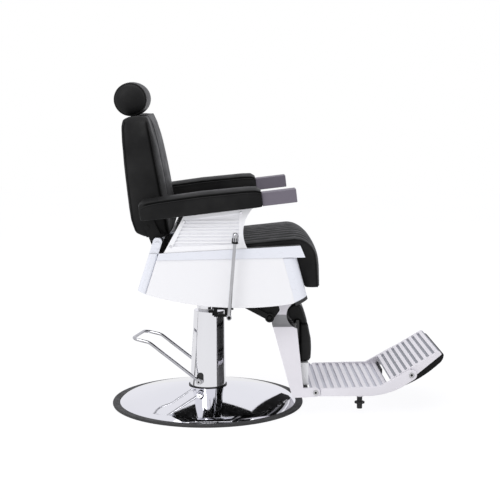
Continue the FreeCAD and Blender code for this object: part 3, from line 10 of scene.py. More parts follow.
import bmesh
import bpy
import numpy as np
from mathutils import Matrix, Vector
from mathutils.bvhtree import BVHTree
from mathutils.kdtree import KDTree


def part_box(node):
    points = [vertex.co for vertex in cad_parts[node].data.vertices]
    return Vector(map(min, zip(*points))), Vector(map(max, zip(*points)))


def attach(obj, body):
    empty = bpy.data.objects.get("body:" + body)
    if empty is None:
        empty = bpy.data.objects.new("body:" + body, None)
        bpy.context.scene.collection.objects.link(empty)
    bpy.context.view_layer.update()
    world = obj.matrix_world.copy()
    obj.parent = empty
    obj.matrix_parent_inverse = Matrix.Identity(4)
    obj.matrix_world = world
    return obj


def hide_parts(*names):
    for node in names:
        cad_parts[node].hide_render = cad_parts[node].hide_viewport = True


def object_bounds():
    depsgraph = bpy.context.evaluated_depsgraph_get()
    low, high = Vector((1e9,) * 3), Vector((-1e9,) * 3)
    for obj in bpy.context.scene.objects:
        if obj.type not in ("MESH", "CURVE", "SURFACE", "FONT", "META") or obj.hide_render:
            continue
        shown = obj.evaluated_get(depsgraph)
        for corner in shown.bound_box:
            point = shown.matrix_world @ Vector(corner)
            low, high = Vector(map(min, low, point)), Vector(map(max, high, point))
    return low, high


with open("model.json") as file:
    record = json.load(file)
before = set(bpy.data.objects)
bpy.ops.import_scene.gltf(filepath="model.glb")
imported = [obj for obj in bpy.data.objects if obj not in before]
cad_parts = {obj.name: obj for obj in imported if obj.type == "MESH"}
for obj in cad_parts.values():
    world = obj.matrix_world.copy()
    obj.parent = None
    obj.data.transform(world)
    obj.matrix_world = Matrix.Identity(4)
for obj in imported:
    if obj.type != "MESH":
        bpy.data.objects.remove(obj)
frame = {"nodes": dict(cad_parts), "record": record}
cad_low, cad_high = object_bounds()

MM = 0.001

# Camera, as solved from the photograph
camera_place = (0.0375, -4.03, 1.08)
camera_pitch_down = math.radians(7.74)
camera_yaw = math.radians(1.55)
camera_lens = 85.32
camera_sensor = 36.0

# Light
plain_white = (1.0, 1.0, 1.0, 1.0)
room_white = (0.955, 0.955, 1.0, 1.0)
floor_white = (0.985, 0.985, 1.0, 1.0)
fill_light = 0.68
mirrored_room = 0.92
mirrored_floor = 0.78
dim_floor = 0.015                   # darker parts of the floor in the mirror finishes
streak_front = 0.02
streak_rear = 0.1
streak_end = (-0.4, 0.1)            # where the streak stops, and how far it takes
sector_near = 0.05                  # darker sector in front of the chair, seen in the column
sector_far = 1.8
sector_front = (0.7, 1.0, 0.0)
sector_rear = (0.75, -1.0, 0.0)
floor_fade = 20 * MM
floor_glow = 0.93
floor_radius = 9.0
floor_sides = 96
floor_drop = 0.3 * MM               # keeps the floor off the chair's underside
overhead_place = (0.1, -0.3, 3.2)
overhead_size = (3.0, 3.0)
overhead_power = 33.0
key_place = (-1.6, -2.6, 2.4)
key_size = (1.6, 1.6)
key_power = 36.0

# Painted places
fade = 1 * MM                       # soft edge of a painted place
lip_top = 173 * MM                  # the calf board is black above its lip
calf_board_top = 330 * MM
calf_board_near = (250 * MM, 10 * MM)   # where the board starts, and its fade
rod_clear = 66 * MM                 # rods outside the column and above the disc are painted duller: a painted dark reflection
rod_low = 78 * MM
foot_bar_top = 300 * MM
side_lever_inner = -301 * MM
bar_reach = 170 * MM                # the bars between the legs are painted black
bar_rear = 255 * MM
bar_front = 330 * MM
bar_top = 260 * MM
leg_front = 340 * MM                # the legs' inner faces are dark up to the footplate
joggle_low = 302 * MM               # bend of the legs, painted as a band of shade
joggle_high = 338 * MM
joggle_fade = 2 * MM
foot_groove = 85 * MM               # floor between the footplate's ribs, darkened with painted shade
flip_pivot = (680 * MM, 0.0, 135 * MM)
flip_slope = math.radians(31)
flip_up = (-math.sin(flip_slope), 0.0, math.cos(flip_slope))
flip_floor_rise = 14 * MM           # floor between the flip plate's ribs, above its pins, darkened with painted shade
flip_groove = flip_pivot[0] * flip_up[0] + flip_pivot[2] * flip_up[2] + flip_floor_rise
flip_low = 100 * MM                 # lowest height of the flip plate's ribs
groove_depth = 2.5 * MM
groove_fade = 0.5 * MM

# Ways that a surface faces: a share of its normal, or place times normal, and its fade
into_tub = (-0.12, 0.02)
into_legs = (-0.1, 0.02)
to_rear = (-0.6, 0.1)
turned_up = (0.5, 0.2)
level = (0.9, 0.05)

# Small details
trim_cut = (0.31, 0.0, -0.951)      # the way the front trims' lower ends face
trim_cut_match = 0.9                # least agreement of such a face with it
trim_cut_down = -0.8
plug_drop = (3 * MM, 0.0, -11 * MM)
knob_foot = (89.6 * MM, -332 * MM, 597 * MM)
knob_axis = (0.0792, 0.0, 0.9969)
knob_length = 19 * MM
knob_flutes = 9
knob_steps = 4                      # points round each flute, half of them on its crest
knob_crest = 10.3 * MM
knob_valley = 8.6 * MM
knob_rings = ((0.0, 0.9), (0.08, 1.0), (0.92, 1.0), (1.0, 0.9))     # shares of length and radius
lever_axis = (-0.25038, -0.968148, 0.0)
lever_pivot = (-10.65 * MM, 2.754 * MM, 87 * MM)
cross_axis = (0.0, 1.0, 0.0)
foot_bolt = (360 * MM, 0.0, 78 * MM)
lever_socket = 3.4 * MM             # radii of the black hexagons, painted shade of the bolts' sockets
flip_socket = 4.6 * MM
foot_socket = 4.2 * MM
socket_depth = 0.3 * MM
bolt_ray = 0.5                      # rays towards a bolt's heads start this far out

# Upholstery
weld = 0.01 * MM                    # vertices closer than this are one
off_face = 0.1 * MM                 # rays that look for pockets start off their face
crease_angle = math.radians(25)
line_turn = math.radians(40)        # a seam breaks where it turns by more
shortest_seam = 12 * MM
seam_step = 2 * MM                  # points along a seam
pin_reach = 4 * MM                  # cloth this near a seam is sewn to it
cloth_frames = 20
cloth_quality = 5
least_travel = 1e-9                 # keeps a still point from a division by zero
dome_power = 6                      # how flat a filled face stays up to its rim
seam_ray = 0.1                      # rays that lay a seam start this far outside the pad
side_ray = 0.3                      # and from the side, this far from the chair's middle
piping_radius = 2.0 * MM
piping_sides = 3                    # bevel steps of the piping's curve
piping_step = 4 * MM
piping_lift = 0.4                   # share of the radius that its middle stands off the cover

# Back cushion. A pair is where a fill starts to change and how far that takes
side_seam_across = 0.2              # limits that tell the seams by place and length
side_seam_rise = 0.3
top_seam_low = 0.95
top_seam_length = 0.2
back_border = 85 * MM               # border seam from the back's edges
back_seam_foot = 20 * MM            # seams start above the cushion's foot
rear_seam_top = 24 * MM             # and the rear ones stop under its top
rear_seam_points = 24
rear_seam_across = 0.2              # the rear face is felt for this far from the middle
top_fill_under = 3 * MM             # back's top raised under the headrest
top_fill_beside = 7 * MM
beside_headrest = (0.138, 0.022)
top_rear = (-0.27, 0.02)
top_front = (-0.225, 0.03)
top_height = (0.955, 0.025)
rear_fill = 2.5 * MM                # back's rear corners filled out
rear_fill_reach = 40 * MM
soft_corner_height = 0.045          # top corners and foot that are evened out
soft_corner_width = 0.04
soft_corner_rounds = 14
soft_foot_height = 0.035
soft_foot_rounds = 10
front_seam_back = 5 * MM            # front seams behind the piping
front_seam_rise = 20 * MM           # and carried on above it

# Seat cushion
seat_edge_length = 0.5              # limits that tell edges from channels
seat_edge_across = 0.23
channel_across = 0.21
channel_spread = 0.02
channel_length = 0.09
seat_pin_down = -0.6                # faces turned further down or back than this are pinned
seat_pin_rear = -0.5
seat_rear_low = 0.52                # the drop's rear face below this lies on the tub
seat_front_fill = 8 * MM
seat_tail_fill = 6 * MM
drop_depth = 0.07                   # the front drop, back from the seat's front
drop_fade = 0.04
drop_top = 0.585
drop_top_fade = 0.06
drop_foot_share = 0.45              # share of the fill that is left at the foot
drop_foot_fade = 0.07
tail_height = 0.045
tail_fade = 0.03
tail_depth = 0.02
tail_edge = 0.01

# Arm pads, headrest and footrest
arm_pin_down = -0.7                 # faces turned further than these are pinned
calf_pin_rear = -0.7
flip_pin_up = 0.5
arm_edge_length = 0.3
arm_edge_low = 0.74
arm_rear_fill = 11 * MM
arm_rear_reach = 0.06
arm_seam_drop = 4 * MM              # seam and piping under the pad's upper edge
arm_piping_drop = 9 * MM
headrest_ring_radius = 52 * MM
headrest_ring_steps = 72
headrest_end_fill = 10 * MM
headrest_end_depth = 20 * MM
headrest_end_fade = 10 * MM
calf_fold = 303 * MM                # seam under the calf roll
calf_wrap = 300 * MM                # below this the calf pad's rear face lies on the board
calf_slot = 301 * MM                # middle of the slot for the board
calf_slot_half = 8 * MM
calf_slot_above = 4 * MM

# Seams: how far they draw the cover in, how wide their groove is, and how much shade is painted into the
# groove
back_border_seam = (2.5 * MM, 8 * MM, 0.9)
back_rear_seam = (1.5 * MM, 6 * MM, 1.0)
back_front_seam = (2 * MM, 7 * MM, 1.0)
seat_channel_seam = (2 * MM, 7 * MM, 0.3)
seat_edge_seam = (1 * MM, 5 * MM, 0.8)
arm_seam = (2 * MM, 6 * MM, 1.0)
headrest_seam = (1.5 * MM, 6 * MM, 1.0)
calf_seam = (3 * MM, 8 * MM, 0.9)


# Node graphs

class Shader:
    """A Principled material. A socket given as a value is linked, anything else is set."""

    def __init__(self, name):
        self.material = bpy.data.materials.new(name)
        self.material.use_nodes = True
        self.tree = self.material.node_tree
        self.main = self.tree.nodes["Principled BSDF"]
        self.place = self.node("TexCoord").outputs["Object"]

    def node(self, kind, inputs=None, **settings):
        made = self.tree.nodes.new("ShaderNode" + kind)
        for key, value in settings.items():
            setattr(made, key, value)
        for key, value in (inputs or {}).items():
            self.put(made.inputs[key], value)
        return made

    def put(self, socket, value):
        if isinstance(value, bpy.types.NodeSocket):
            self.tree.links.new(value, socket)
        else:
            socket.default_value = value

    def surface(self, **values):
        """Sets the Principled shader's sockets, with _ for a space in their names."""
        for key, value in values.items():
            self.put(self.main.inputs[key.replace("_", " ")], value)

    def stretched(self, stretch):
        return self.node("Mapping", {"Vector": self.place, "Scale": stretch}).outputs["Vector"]

    def noise(self, scale, detail=3.0, roughness=0.5, stretch=None, distortion=0.0):
        place = self.stretched(stretch) if stretch else self.place
        inputs = {
            "Vector": place,
            "Scale": scale,
            "Detail": detail,
            "Roughness": roughness,
            "Distortion": distortion,
        }
        return self.node("TexNoise", inputs).outputs["Fac"]

    def cells(self, scale):
        inputs = {"Vector": self.place, "Scale": scale}
        return self.node("TexVoronoi", inputs).outputs["Distance"]

    def span(self, value, low, high, start=0.3, stop=0.7):
        """Maps a value to a new range, from the one that noise mostly takes if no other is given."""
        inputs = {
            "Value": value,
            "From Min": start,
            "From Max": stop,
            "To Min": low,
            "To Max": high,
        }
        return self.node("MapRange", inputs).outputs["Result"]

    def blend(self, share, first, second):
        """The first value where a share is 0, the second where it is 1."""
        return self.span(share, first, second, 0.0, 1.0)

    def above(self, value, start, soft=fade):
        """0 up to a start, 1 beyond it."""
        return self.span(value, 0.0, 1.0, start, start + soft)

    def below(self, value, start, soft=fade):
        """1 up to a start, 0 beyond it."""
        return self.span(value, 1.0, 0.0, start, start + soft)

    def part_of(self, vector, axis):
        """One coordinate of a vector."""
        return self.node("SeparateXYZ", {"Vector": vector}).outputs[axis]

    def at(self, axis):
        """One coordinate of a point."""
        return self.part_of(self.place, axis)

    def along(self, direction):
        """How far a point lies along a direction."""
        inputs = {0: self.place, 1: direction}
        return self.node("VectorMath", inputs, operation="DOT_PRODUCT").outputs["Value"]

    def facing(self, axis):
        """Share of the surface's normal along one of the object's own axes."""
        return self.part_of(self.node("TexCoord").outputs["Normal"], axis)

    def both(self, first, second):
        return self.node("Math", {0: first, 1: second}, operation="MULTIPLY").outputs[0]

    def either(self, first, second):
        return self.node("Math", {0: first, 1: second}, operation="MAXIMUM").outputs[0]

    def between(self, value, low, high, soft=fade):
        """1 inside a range, 0 outside it, with soft ends."""
        return self.both(self.above(value, low - soft, soft), self.below(value, high, soft))

    def mix(self, share, first, second):
        made = self.node("Mix", data_type="RGBA")
        for index, value in ((0, share), (6, first), (7, second)):
            self.put(made.inputs[index], value)
        return made.outputs[2]

    def rounded(self, radius):
        """Normals as if sharp edges were rounded to this radius."""
        return self.node("Bevel", {"Radius": radius}, samples=4).outputs["Normal"]

    def bump(self, height, strength, distance, normal=None):
        inputs = {"Height": height, "Strength": strength, "Distance": distance}
        if normal:
            inputs["Normal"] = normal
        return self.node("Bump", inputs).outputs["Normal"]


def grey(value, tint=(1.0, 1.0, 1.0)):
    return (value * tint[0], value * tint[1], value * tint[2], 1.0)


# Finishes, one function for each of the record's slots

cool = (0.985, 0.985, 1.02)


def black_leather():
    s = Shader("black_leather")
    # Random lighter and darker patches of the cover: partly wear, partly a painted sheen
    wear_and_sheen = s.span(s.noise(5.0, detail=4.0, roughness=0.6), 0.0, 1.0, start=0.38, stop=0.68)
    creased = s.noise(34.0, detail=6.0, roughness=0.62, distortion=0.7)
    folds = s.bump(creased, strength=0.32, distance=1.6 * MM)
    grain = s.bump(s.cells(620.0), strength=0.35, distance=0.25 * MM, normal=folds)
    pores = s.bump(s.noise(1500.0, detail=2.0), strength=0.2, distance=0.12 * MM, normal=grain)
    # Painted shade in the seams' grooves: the cover is painted near black and fully rough along them
    sewn = s.node("Attribute", attribute_name="sewn").outputs["Fac"]
    cover = s.mix(wear_and_sheen, grey(0.0085, cool), grey(0.021))
    sheen = s.span(s.noise(22.0, detail=5.0), 0.36, 0.52)
    s.surface(
        Base_Color=s.mix(sewn, cover, grey(0.0008)),
        Roughness=s.blend(sewn, sheen, 1.0),
        Specular_IOR_Level=0.11,
        Normal=pores,
    )
    return s.material


def chrome():
    s = Shader("chrome")
    waves = s.bump(s.noise(9.0, detail=1.0), strength=0.02, distance=2.0 * MM, normal=s.rounded(0.8 * MM))
    bright = s.mix(s.noise(5.0, detail=2.0), grey(0.84, cool), grey(0.9, cool))
    # Painted dark reflection: the rods get a duller, darker chrome colour than the rest
    streaked_shade = s.mix(s.noise(40.0, detail=4.0), grey(0.46, cool), grey(0.58, cool))
    height = s.at("Z")
    level_place = s.stretched((1.0, 1.0, 0.0))
    out = s.node("VectorMath", {0: level_place}, operation="LENGTH").outputs["Value"]
    foot_bar = s.both(s.above(out, rod_clear), s.below(height, foot_bar_top))
    side_lever = s.below(s.at("Y"), side_lever_inner)
    rod = s.both(s.either(foot_bar, side_lever), s.above(height, rod_low))
    s.surface(
        Base_Color=s.mix(rod, bright, streaked_shade),
        Metallic=1.0,
        Roughness=s.span(s.noise(60.0, detail=6.0, roughness=0.7), 0.02, 0.065),
        Normal=waves,
    )
    return s.material


def black_rubber():
    s = Shader("black_rubber")
    skin = s.bump(s.noise(900.0, detail=2.0), strength=0.25, distance=0.2 * MM, normal=s.rounded(1.0 * MM))
    s.surface(
        Base_Color=s.mix(s.noise(14.0, detail=4.0), grey(0.022), grey(0.036, cool)),
        Roughness=s.span(s.noise(40.0, detail=4.0), 0.48, 0.66),
        Specular_IOR_Level=0.35,
        Normal=skin,
    )
    return s.material


def steel():
    s = Shader("steel")
    lines = s.noise(240.0, detail=3.0, roughness=0.6, stretch=(1.0, 1.0, 12.0))
    turned = s.bump(lines, strength=0.08, distance=0.15 * MM, normal=s.rounded(0.5 * MM))
    bright = s.mix(s.noise(30.0, detail=3.0), grey(0.5), grey(0.66, cool))
    inner = s.between(s.at("Y"), -bar_reach, bar_reach)
    ahead = s.between(s.at("X"), bar_rear, bar_front)
    painted = s.both(s.both(inner, ahead), s.below(s.at("Z"), bar_top))
    s.surface(
        Base_Color=s.mix(painted, bright, grey(0.01)),
        Metallic=s.blend(painted, 1.0, 0.0),
        Roughness=s.span(lines, 0.18, 0.36),
        Normal=turned,
    )
    return s.material


def black_steel():
    s = Shader("black_steel")
    peel = s.bump(s.noise(420.0, detail=2.0), strength=0.18, distance=0.2 * MM, normal=s.rounded(1.0 * MM))
    s.surface(
        Base_Color=s.mix(s.noise(16.0, detail=4.0), grey(0.004), grey(0.009)),
        Roughness=s.span(s.noise(50.0, detail=4.0), 0.34, 0.5),
        Specular_IOR_Level=0.16,
        Normal=peel,
    )
    return s.material


def white_panel():
    s = Shader("white_panel")
    peel = s.bump(s.noise(130.0, detail=1.0), strength=0.03, distance=0.25 * MM, normal=s.rounded(1.2 * MM))
    side = s.both(s.at("Y"), s.facing("Y"))
    rear = s.both(s.at("X"), s.facing("X"))
    outward = s.node("Math", {0: side, 1: rear}, operation="ADD").outputs[0]
    inside = s.below(outward, *into_tub)
    backed = s.between(s.at("Z"), lip_top, calf_board_top)
    behind = s.both(s.below(s.facing("X"), *to_rear), s.above(s.at("X"), *calf_board_near))
    board = s.either(backed, behind)
    dark = s.either(inside, board)
    white = s.mix(s.noise(3.0, detail=3.0), grey(0.845, cool), grey(0.875, cool))
    s.surface(
        Base_Color=s.mix(board, s.mix(inside, white, grey(0.03)), grey(0.004)),
        Roughness=s.span(s.noise(26.0, detail=4.0), 0.16, 0.27),
        Coat_Weight=s.blend(dark, 0.5, 0.1),
        Coat_Roughness=0.06,
        Normal=peel,
    )
    return s.material


def pale_trim():
    s = Shader("pale_trim")
    lines = s.noise(900.0, detail=2.0, roughness=0.6, stretch=(0.03, 1.0, 1.0))
    satin = s.bump(lines, strength=0.012, distance=0.1 * MM, normal=s.rounded(1.0 * MM))
    pale = s.mix(s.noise(6.0, detail=3.0), (0.76, 0.78, 0.85, 1.0), (0.82, 0.835, 0.9, 1.0))
    # Painted shadow: faces that look straight up, such as the rim's top, are painted dark grey
    shadowed_ledge = s.above(s.facing("Z"), *level)
    s.surface(
        Base_Color=s.mix(shadowed_ledge, pale, grey(0.06, cool)),
        Metallic=0.2,
        Roughness=s.span(lines, 0.27, 0.33),
        Normal=satin,
    )
    return s.material


def white_casting():
    s = Shader("white_casting")
    sand = s.noise(260.0, detail=3.0, roughness=0.6)
    cast = s.bump(sand, strength=0.07, distance=0.25 * MM, normal=s.rounded(1.2 * MM))
    s.surface(
        Base_Color=s.mix(s.noise(5.0, detail=4.0), grey(0.9, cool), grey(0.94, cool)),
        Roughness=s.span(s.noise(45.0, detail=4.0), 0.26, 0.4),
        Normal=cast,
    )
    return s.material


def cast_aluminium():
    s = Shader("cast_aluminium")
    sand = s.noise(480.0, detail=4.0, roughness=0.65)
    cast = s.bump(sand, strength=0.1, distance=0.25 * MM, normal=s.rounded(1.2 * MM))
    height = s.at("Z")
    streaked_shade = s.noise(160.0, detail=4.0, roughness=0.7, stretch=(0.2, 1.0, 3.0))
    pale = s.mix(s.noise(7.0, detail=4.0), (0.76, 0.74, 0.79, 1.0), (0.84, 0.82, 0.87, 1.0))
    # Painted shade on the legs' bend: a streaked band, darker at its foot and lighter at its top
    shade = s.span(height, 0.0, 1.0, joggle_low, joggle_high)
    dark_lines = s.mix(shade, grey(0.17, cool), grey(0.36, cool))
    light_lines = s.mix(shade, grey(0.3, cool), grey(0.62, cool))
    bend_shade = s.mix(streaked_shade, dark_lines, light_lines)
    legs = s.mix(s.between(height, joggle_low, joggle_high, joggle_fade), pale, bend_shade)
    top = s.above(s.facing("Z"), *turned_up)
    # Painted shade in the grooves between the ribs of the footplate and the flip plate
    foot_groove_shade = s.both(top, s.between(height, foot_groove, foot_groove + groove_depth, groove_fade))
    raised = s.both(top, s.above(height, flip_low))
    flip_depth = s.between(s.along(flip_up), flip_groove, flip_groove + groove_depth, groove_fade)
    flip_groove_shade = s.both(raised, flip_depth)
    inward = s.below(s.both(s.at("Y"), s.facing("Y")), *into_legs)
    shaded = s.both(inward, s.below(s.at("X"), leg_front))
    plate = s.mix(foot_groove_shade, s.mix(shaded, legs, grey(0.045)), (0.58, 0.585, 0.65, 1.0))
    s.surface(
        Base_Color=s.mix(flip_groove_shade, plate, (0.25, 0.26, 0.3, 1.0)),
        Metallic=0.3,
        Roughness=s.span(s.noise(38.0, detail=5.0), 0.3, 0.44),
        Normal=cast,
    )
    return s.material


def grey_grip():
    s = Shader("grey_grip")
    moulded = s.bump(s.noise(700.0, detail=2.0), strength=0.2, distance=0.2 * MM, normal=s.rounded(1.0 * MM))
    s.surface(
        Base_Color=s.mix(s.noise(12.0, detail=4.0), (0.135, 0.12, 0.15, 1.0), (0.16, 0.145, 0.18, 1.0)),
        Roughness=s.span(s.noise(60.0, detail=4.0), 0.5, 0.64),
        Specular_IOR_Level=0.3,
        Normal=moulded,
    )
    return s.material


def black_board():
    s = Shader("black_board")
    fibres = s.noise(90.0, detail=5.0, roughness=0.7, stretch=(0.1, 1.0, 1.0))
    s.surface(
        Base_Color=s.mix(fibres, grey(0.008), grey(0.02)),
        Roughness=s.span(fibres, 0.5, 0.75),
        Specular_IOR_Level=0.25,
        Normal=s.bump(fibres, strength=0.2, distance=0.4 * MM),
    )
    return s.material


finish = {
    make.__name__: make()
    for make in (
        black_leather, chrome, black_rubber, steel, black_steel, white_panel,
        pale_trim, white_casting, cast_aluminium, grey_grip, black_board,
    )
}


def dress_nodes():
    for subpart in frame["record"]["subparts"]:
        node = frame["nodes"][subpart["node"]]
        node.material_slots[0].material = finish[subpart["material_slot"]]


# Meshes

def add_piece(name, mesh):
    piece = bpy.data.objects.new(name, mesh)
    bpy.context.scene.collection.objects.link(piece)
    return piece


def bake(piece):
    """Makes the piece's modifiers real."""
    graph = bpy.context.evaluated_depsgraph_get()
    mesh = bpy.data.meshes.new_from_object(piece.evaluated_get(graph), depsgraph=graph)
    piece.modifiers.clear()
    piece.data = mesh


def points(mesh):
    co = np.empty(len(mesh.vertices) * 3)
    mesh.vertices.foreach_get("co", co)
    return co.reshape(-1, 3)


def set_points(mesh, co):
    mesh.vertices.foreach_set("co", co.ravel())
    mesh.update()


def normals(mesh):
    out = np.empty(len(mesh.vertices) * 3)
    mesh.vertex_normals.foreach_get("vector", out)
    return out.reshape(-1, 3)


def smooth(mesh):
    mesh.polygons.foreach_set("use_smooth", [True] * len(mesh.polygons))


def outer_skin(node, close_pockets):
    """The outside of a soft node. The pockets for boards, posts and bolts can be closed over."""
    skin = bmesh.new()
    skin.from_mesh(frame["nodes"][node].data)
    bmesh.ops.remove_doubles(skin, verts=skin.verts, dist=weld)
    skin.normal_update()
    if not close_pockets:
        return skin
    tree = BVHTree.FromBMesh(skin)
    pocket = []
    for face in skin.faces:
        start = face.calc_center_median() + face.normal * off_face
        if tree.ray_cast(start, face.normal)[0] is not None:
            pocket.append(face)
    bmesh.ops.delete(skin, geom=pocket, context="FACES")
    bmesh.ops.holes_fill(skin, edges=[e for e in skin.edges if e.is_boundary], sides=0)
    bmesh.ops.recalc_face_normals(skin, faces=skin.faces)
    return skin


def turns(vertex, near):
    """True where a line of sharp edges ends, forks or turns a corner."""
    if len(near[vertex]) != 2:
        return True
    first, second = (e.other_vert(vertex).co - vertex.co for e in near[vertex])
    return first.angle(second, 0.0) < math.pi - line_turn


def creases(skin):
    """Lines of points along the sharp edges of a skin."""
    sharp = [e for e in skin.edges if e.is_manifold and e.calc_face_angle(0.0) > crease_angle]
    near = {}
    for edge in sharp:
        for vertex in edge.verts:
            near.setdefault(vertex, []).append(edge)
    used = set()
    lines = []
    starts = [(v, e) for v, edges in near.items() for e in edges if turns(v, near)]
    starts += [(e.verts[0], e) for e in sharp]
    for vertex, edge in starts:
        if edge in used:
            continue
        line = [vertex.co.copy()]
        while edge is not None:
            used.add(edge)
            vertex = edge.other_vert(vertex)
            line.append(vertex.co.copy())
            ahead = [] if turns(vertex, near) else [e for e in near[vertex] if e not in used]
            edge = ahead[0] if ahead else None
        lines.append(line)
    return lines


def line_length(line):
    return sum((b - a).length for a, b in zip(line, line[1:]))


def spaced(line, step):
    """The same line with points at even steps."""
    lengths = np.cumsum([0.0] + [(b - a).length for a, b in zip(line, line[1:])])
    count = max(2, int(round(lengths[-1] / step)) + 1)
    at = np.linspace(0.0, lengths[-1], count)
    xyz = np.array([tuple(p) for p in line])
    return [Vector(p) for p in np.stack([np.interp(at, lengths, xyz[:, i]) for i in range(3)], 1)]


def distances(co, lines):
    """Distance from each point to the nearest of the lines."""
    samples = [p for line in lines for p in spaced(line, seam_step)]
    tree = KDTree(len(samples))
    for index, point in enumerate(samples):
        tree.insert(point, index)
    tree.balance()
    return np.array([tree.find(p)[2] for p in co])


def ease(share):
    share = np.clip(share, 0.0, 1.0)
    return share * share * (3.0 - 2.0 * share)


def ramp(value, start, width):
    """0 up to a start, 1 a width further on. A width below 0 runs the other way."""
    return ease((value - start) / width)


def dome(share):
    """1 over most of a face, falling to 0 at its rim."""
    return np.clip(1.0 - np.abs(share) ** dome_power, 0.0, 1.0)


def relaxed(mesh, co, free, rounds):
    """Points drawn towards the middle of their neighbours, so that a cut corner becomes a soft one."""
    edges = np.empty(len(mesh.edges) * 2, int)
    mesh.edges.foreach_get("vertices", edges)
    first, second = edges.reshape(-1, 2).T
    count = np.bincount(edges, minlength=len(co))[:, None]
    for _ in range(rounds):
        total = np.zeros_like(co)
        np.add.at(total, first, co[second])
        np.add.at(total, second, co[first])
        co = np.where(free[:, None], (co + total / count) / 2, co)
    return co


def tubes(name, lines, radius):
    """Round cords along lines of points, as one mesh."""
    curve = bpy.data.curves.new(name, "CURVE")
    curve.dimensions = "3D"
    curve.bevel_depth = radius
    curve.bevel_resolution = piping_sides
    curve.use_fill_caps = True
    for line in lines:
        closed = (line[0] - line[-1]).length < 2 * seam_step
        spline = curve.splines.new("POLY")
        spline.points.add(len(line) - 1)
        spline.use_cyclic_u = closed
        for point, place in zip(spline.points, line):
            point.co = (*place, 1.0)
    cords = add_piece(name, curve)
    graph = bpy.context.evaluated_depsgraph_get()
    mesh = bpy.data.meshes.new_from_object(cords.evaluated_get(graph), depsgraph=graph)
    bpy.data.objects.remove(cords)
    piece = add_piece(name, mesh)
    smooth(mesh)
    return piece


# Upholstery

class Pad:
    """A cushion that starts as its CAD node's skin and is blown up between its seams."""

    def __init__(self, node, body, **settings):
        name = settings["name"]
        self.node = node
        self.body = body
        self.fill = settings["fill"]
        self.cap = settings["cap"]
        self.sink = settings["sink"]
        self.reach = settings["reach"]
        self.pressure = settings["pressure"]
        self.rounds = settings["rounds"]
        skin = outer_skin(node, settings.get("close_pockets", True))
        keep = settings.get("keep", lambda line: line_length(line) > shortest_seam)
        self.seams = [line for line in creases(skin) if keep(line)]
        mesh = bpy.data.meshes.new(name)
        skin.to_mesh(mesh)
        self.shell = BVHTree.FromBMesh(skin)
        skin.free()
        self.piece = add_piece(name, mesh)
        remesh = self.piece.modifiers.new("remesh", "REMESH")
        remesh.mode = "VOXEL"
        remesh.voxel_size = settings["voxel"]
        bake(self.piece)
        self.extra_pins = lambda co, normal: np.zeros(len(co), bool)
        self.fuller = lambda co: co

    def draw_seam(self, outline, toward):
        """Adds a seam where points, moved along a direction, land on the skin."""
        line = []
        for point in spaced([Vector(p) for p in outline], seam_step):
            hit = self.shell.ray_cast(point, toward)[0]
            if hit is not None:
                line.append(hit)
        self.seams.append(line)
        return line

    def prepare(self):
        """Sinks the skin between the seams and sets up the cloth."""
        mesh = self.piece.data
        co = points(mesh)
        normal = normals(mesh)
        away = distances(co, self.seams)
        held = (away < pin_reach) | self.extra_pins(co, normal)
        co = relaxed(mesh, co, ~held, self.rounds)
        sunk = np.where(held, 0.0, self.sink * ease(away / self.reach))
        self.start = self.fuller(co - normal * sunk[:, None])
        set_points(mesh, self.start)
        group = self.piece.vertex_groups.new(name="pins")
        group.add([int(i) for i in np.flatnonzero(held)], 1.0, "REPLACE")
        cloth = self.piece.modifiers.new("cloth", "CLOTH")
        cloth.settings.vertex_group_mass = "pins"
        cloth.settings.quality = cloth_quality
        cloth.settings.use_pressure = True
        cloth.settings.uniform_pressure_force = self.pressure
        cloth.settings.effector_weights.gravity = 0.0
        cloth.collision_settings.use_collision = False

    def settle(self):
        """Keeps the blown-up shape, with each point's travel capped."""
        graph = bpy.context.evaluated_depsgraph_get()
        blown = points(self.piece.evaluated_get(graph).data)
        travel = blown - self.start
        length = np.maximum(np.linalg.norm(travel, axis=1), least_travel)
        share = np.minimum(1.0, self.cap / length)
        self.piece.modifiers.clear()
        self.piece.vertex_groups.clear()
        set_points(self.piece.data, self.start + travel * share[:, None])

    def refine(self):
        """Divides the cover once more, for finer seams."""
        subdivision = self.piece.modifiers.new("subdivision", "SUBSURF")
        subdivision.levels = 1
        bake(self.piece)
        smooth(self.piece.data)

    def soften(self, chosen, rounds):
        """Evens out the finished cover where a test holds."""
        mesh = self.piece.data
        co = points(mesh)
        set_points(mesh, relaxed(mesh, co, chosen(co), rounds))

    def sew(self, lines, depth, width, shade):
        """Draws the cover in along seam lines and paints shade into their grooves."""
        mesh = self.piece.data
        co = points(mesh)
        near = 1.0 - ease(distances(co, lines) / width)
        set_points(mesh, co - normals(mesh) * depth * near[:, None])
        sewn = mesh.attributes.get("sewn") or mesh.attributes.new("sewn", "FLOAT", "POINT")
        kept = np.empty(len(co))
        sewn.data.foreach_get("value", kept)
        sewn.data.foreach_set("value", np.maximum(kept, shade * near))

    def on_surface(self, line, lift):
        """The line laid on the finished cover."""
        tree = BVHTree.FromObject(self.piece, bpy.context.evaluated_depsgraph_get())
        laid = []
        for point in spaced(line, piping_step):
            place, normal, _, _ = tree.find_nearest(point)
            laid.append(place + normal * lift)
        return laid

    def dress(self):
        self.piece.data.materials.clear()
        self.piece.data.materials.append(finish["black_leather"])
        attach(self.piece, self.body)
        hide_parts(self.node)

    def add_piping(self, name, lines):
        lift = piping_lift * piping_radius
        cord = tubes(name, [self.on_surface(line, lift) for line in lines], piping_radius)
        cord.data.materials.append(finish["black_leather"])
        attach(cord, self.body)


def simulate(pads):
    """Blows all the pads up together."""
    for pad in pads:
        pad.prepare()
    for number in range(1, cloth_frames + 1):
        bpy.context.scene.frame_set(number)
    for pad in pads:
        pad.settle()
    bpy.context.scene.frame_set(1)


def across(line):
    """Distance of a line from the chair's middle plane, where it comes nearest."""
    return min(abs(p.y) for p in line)


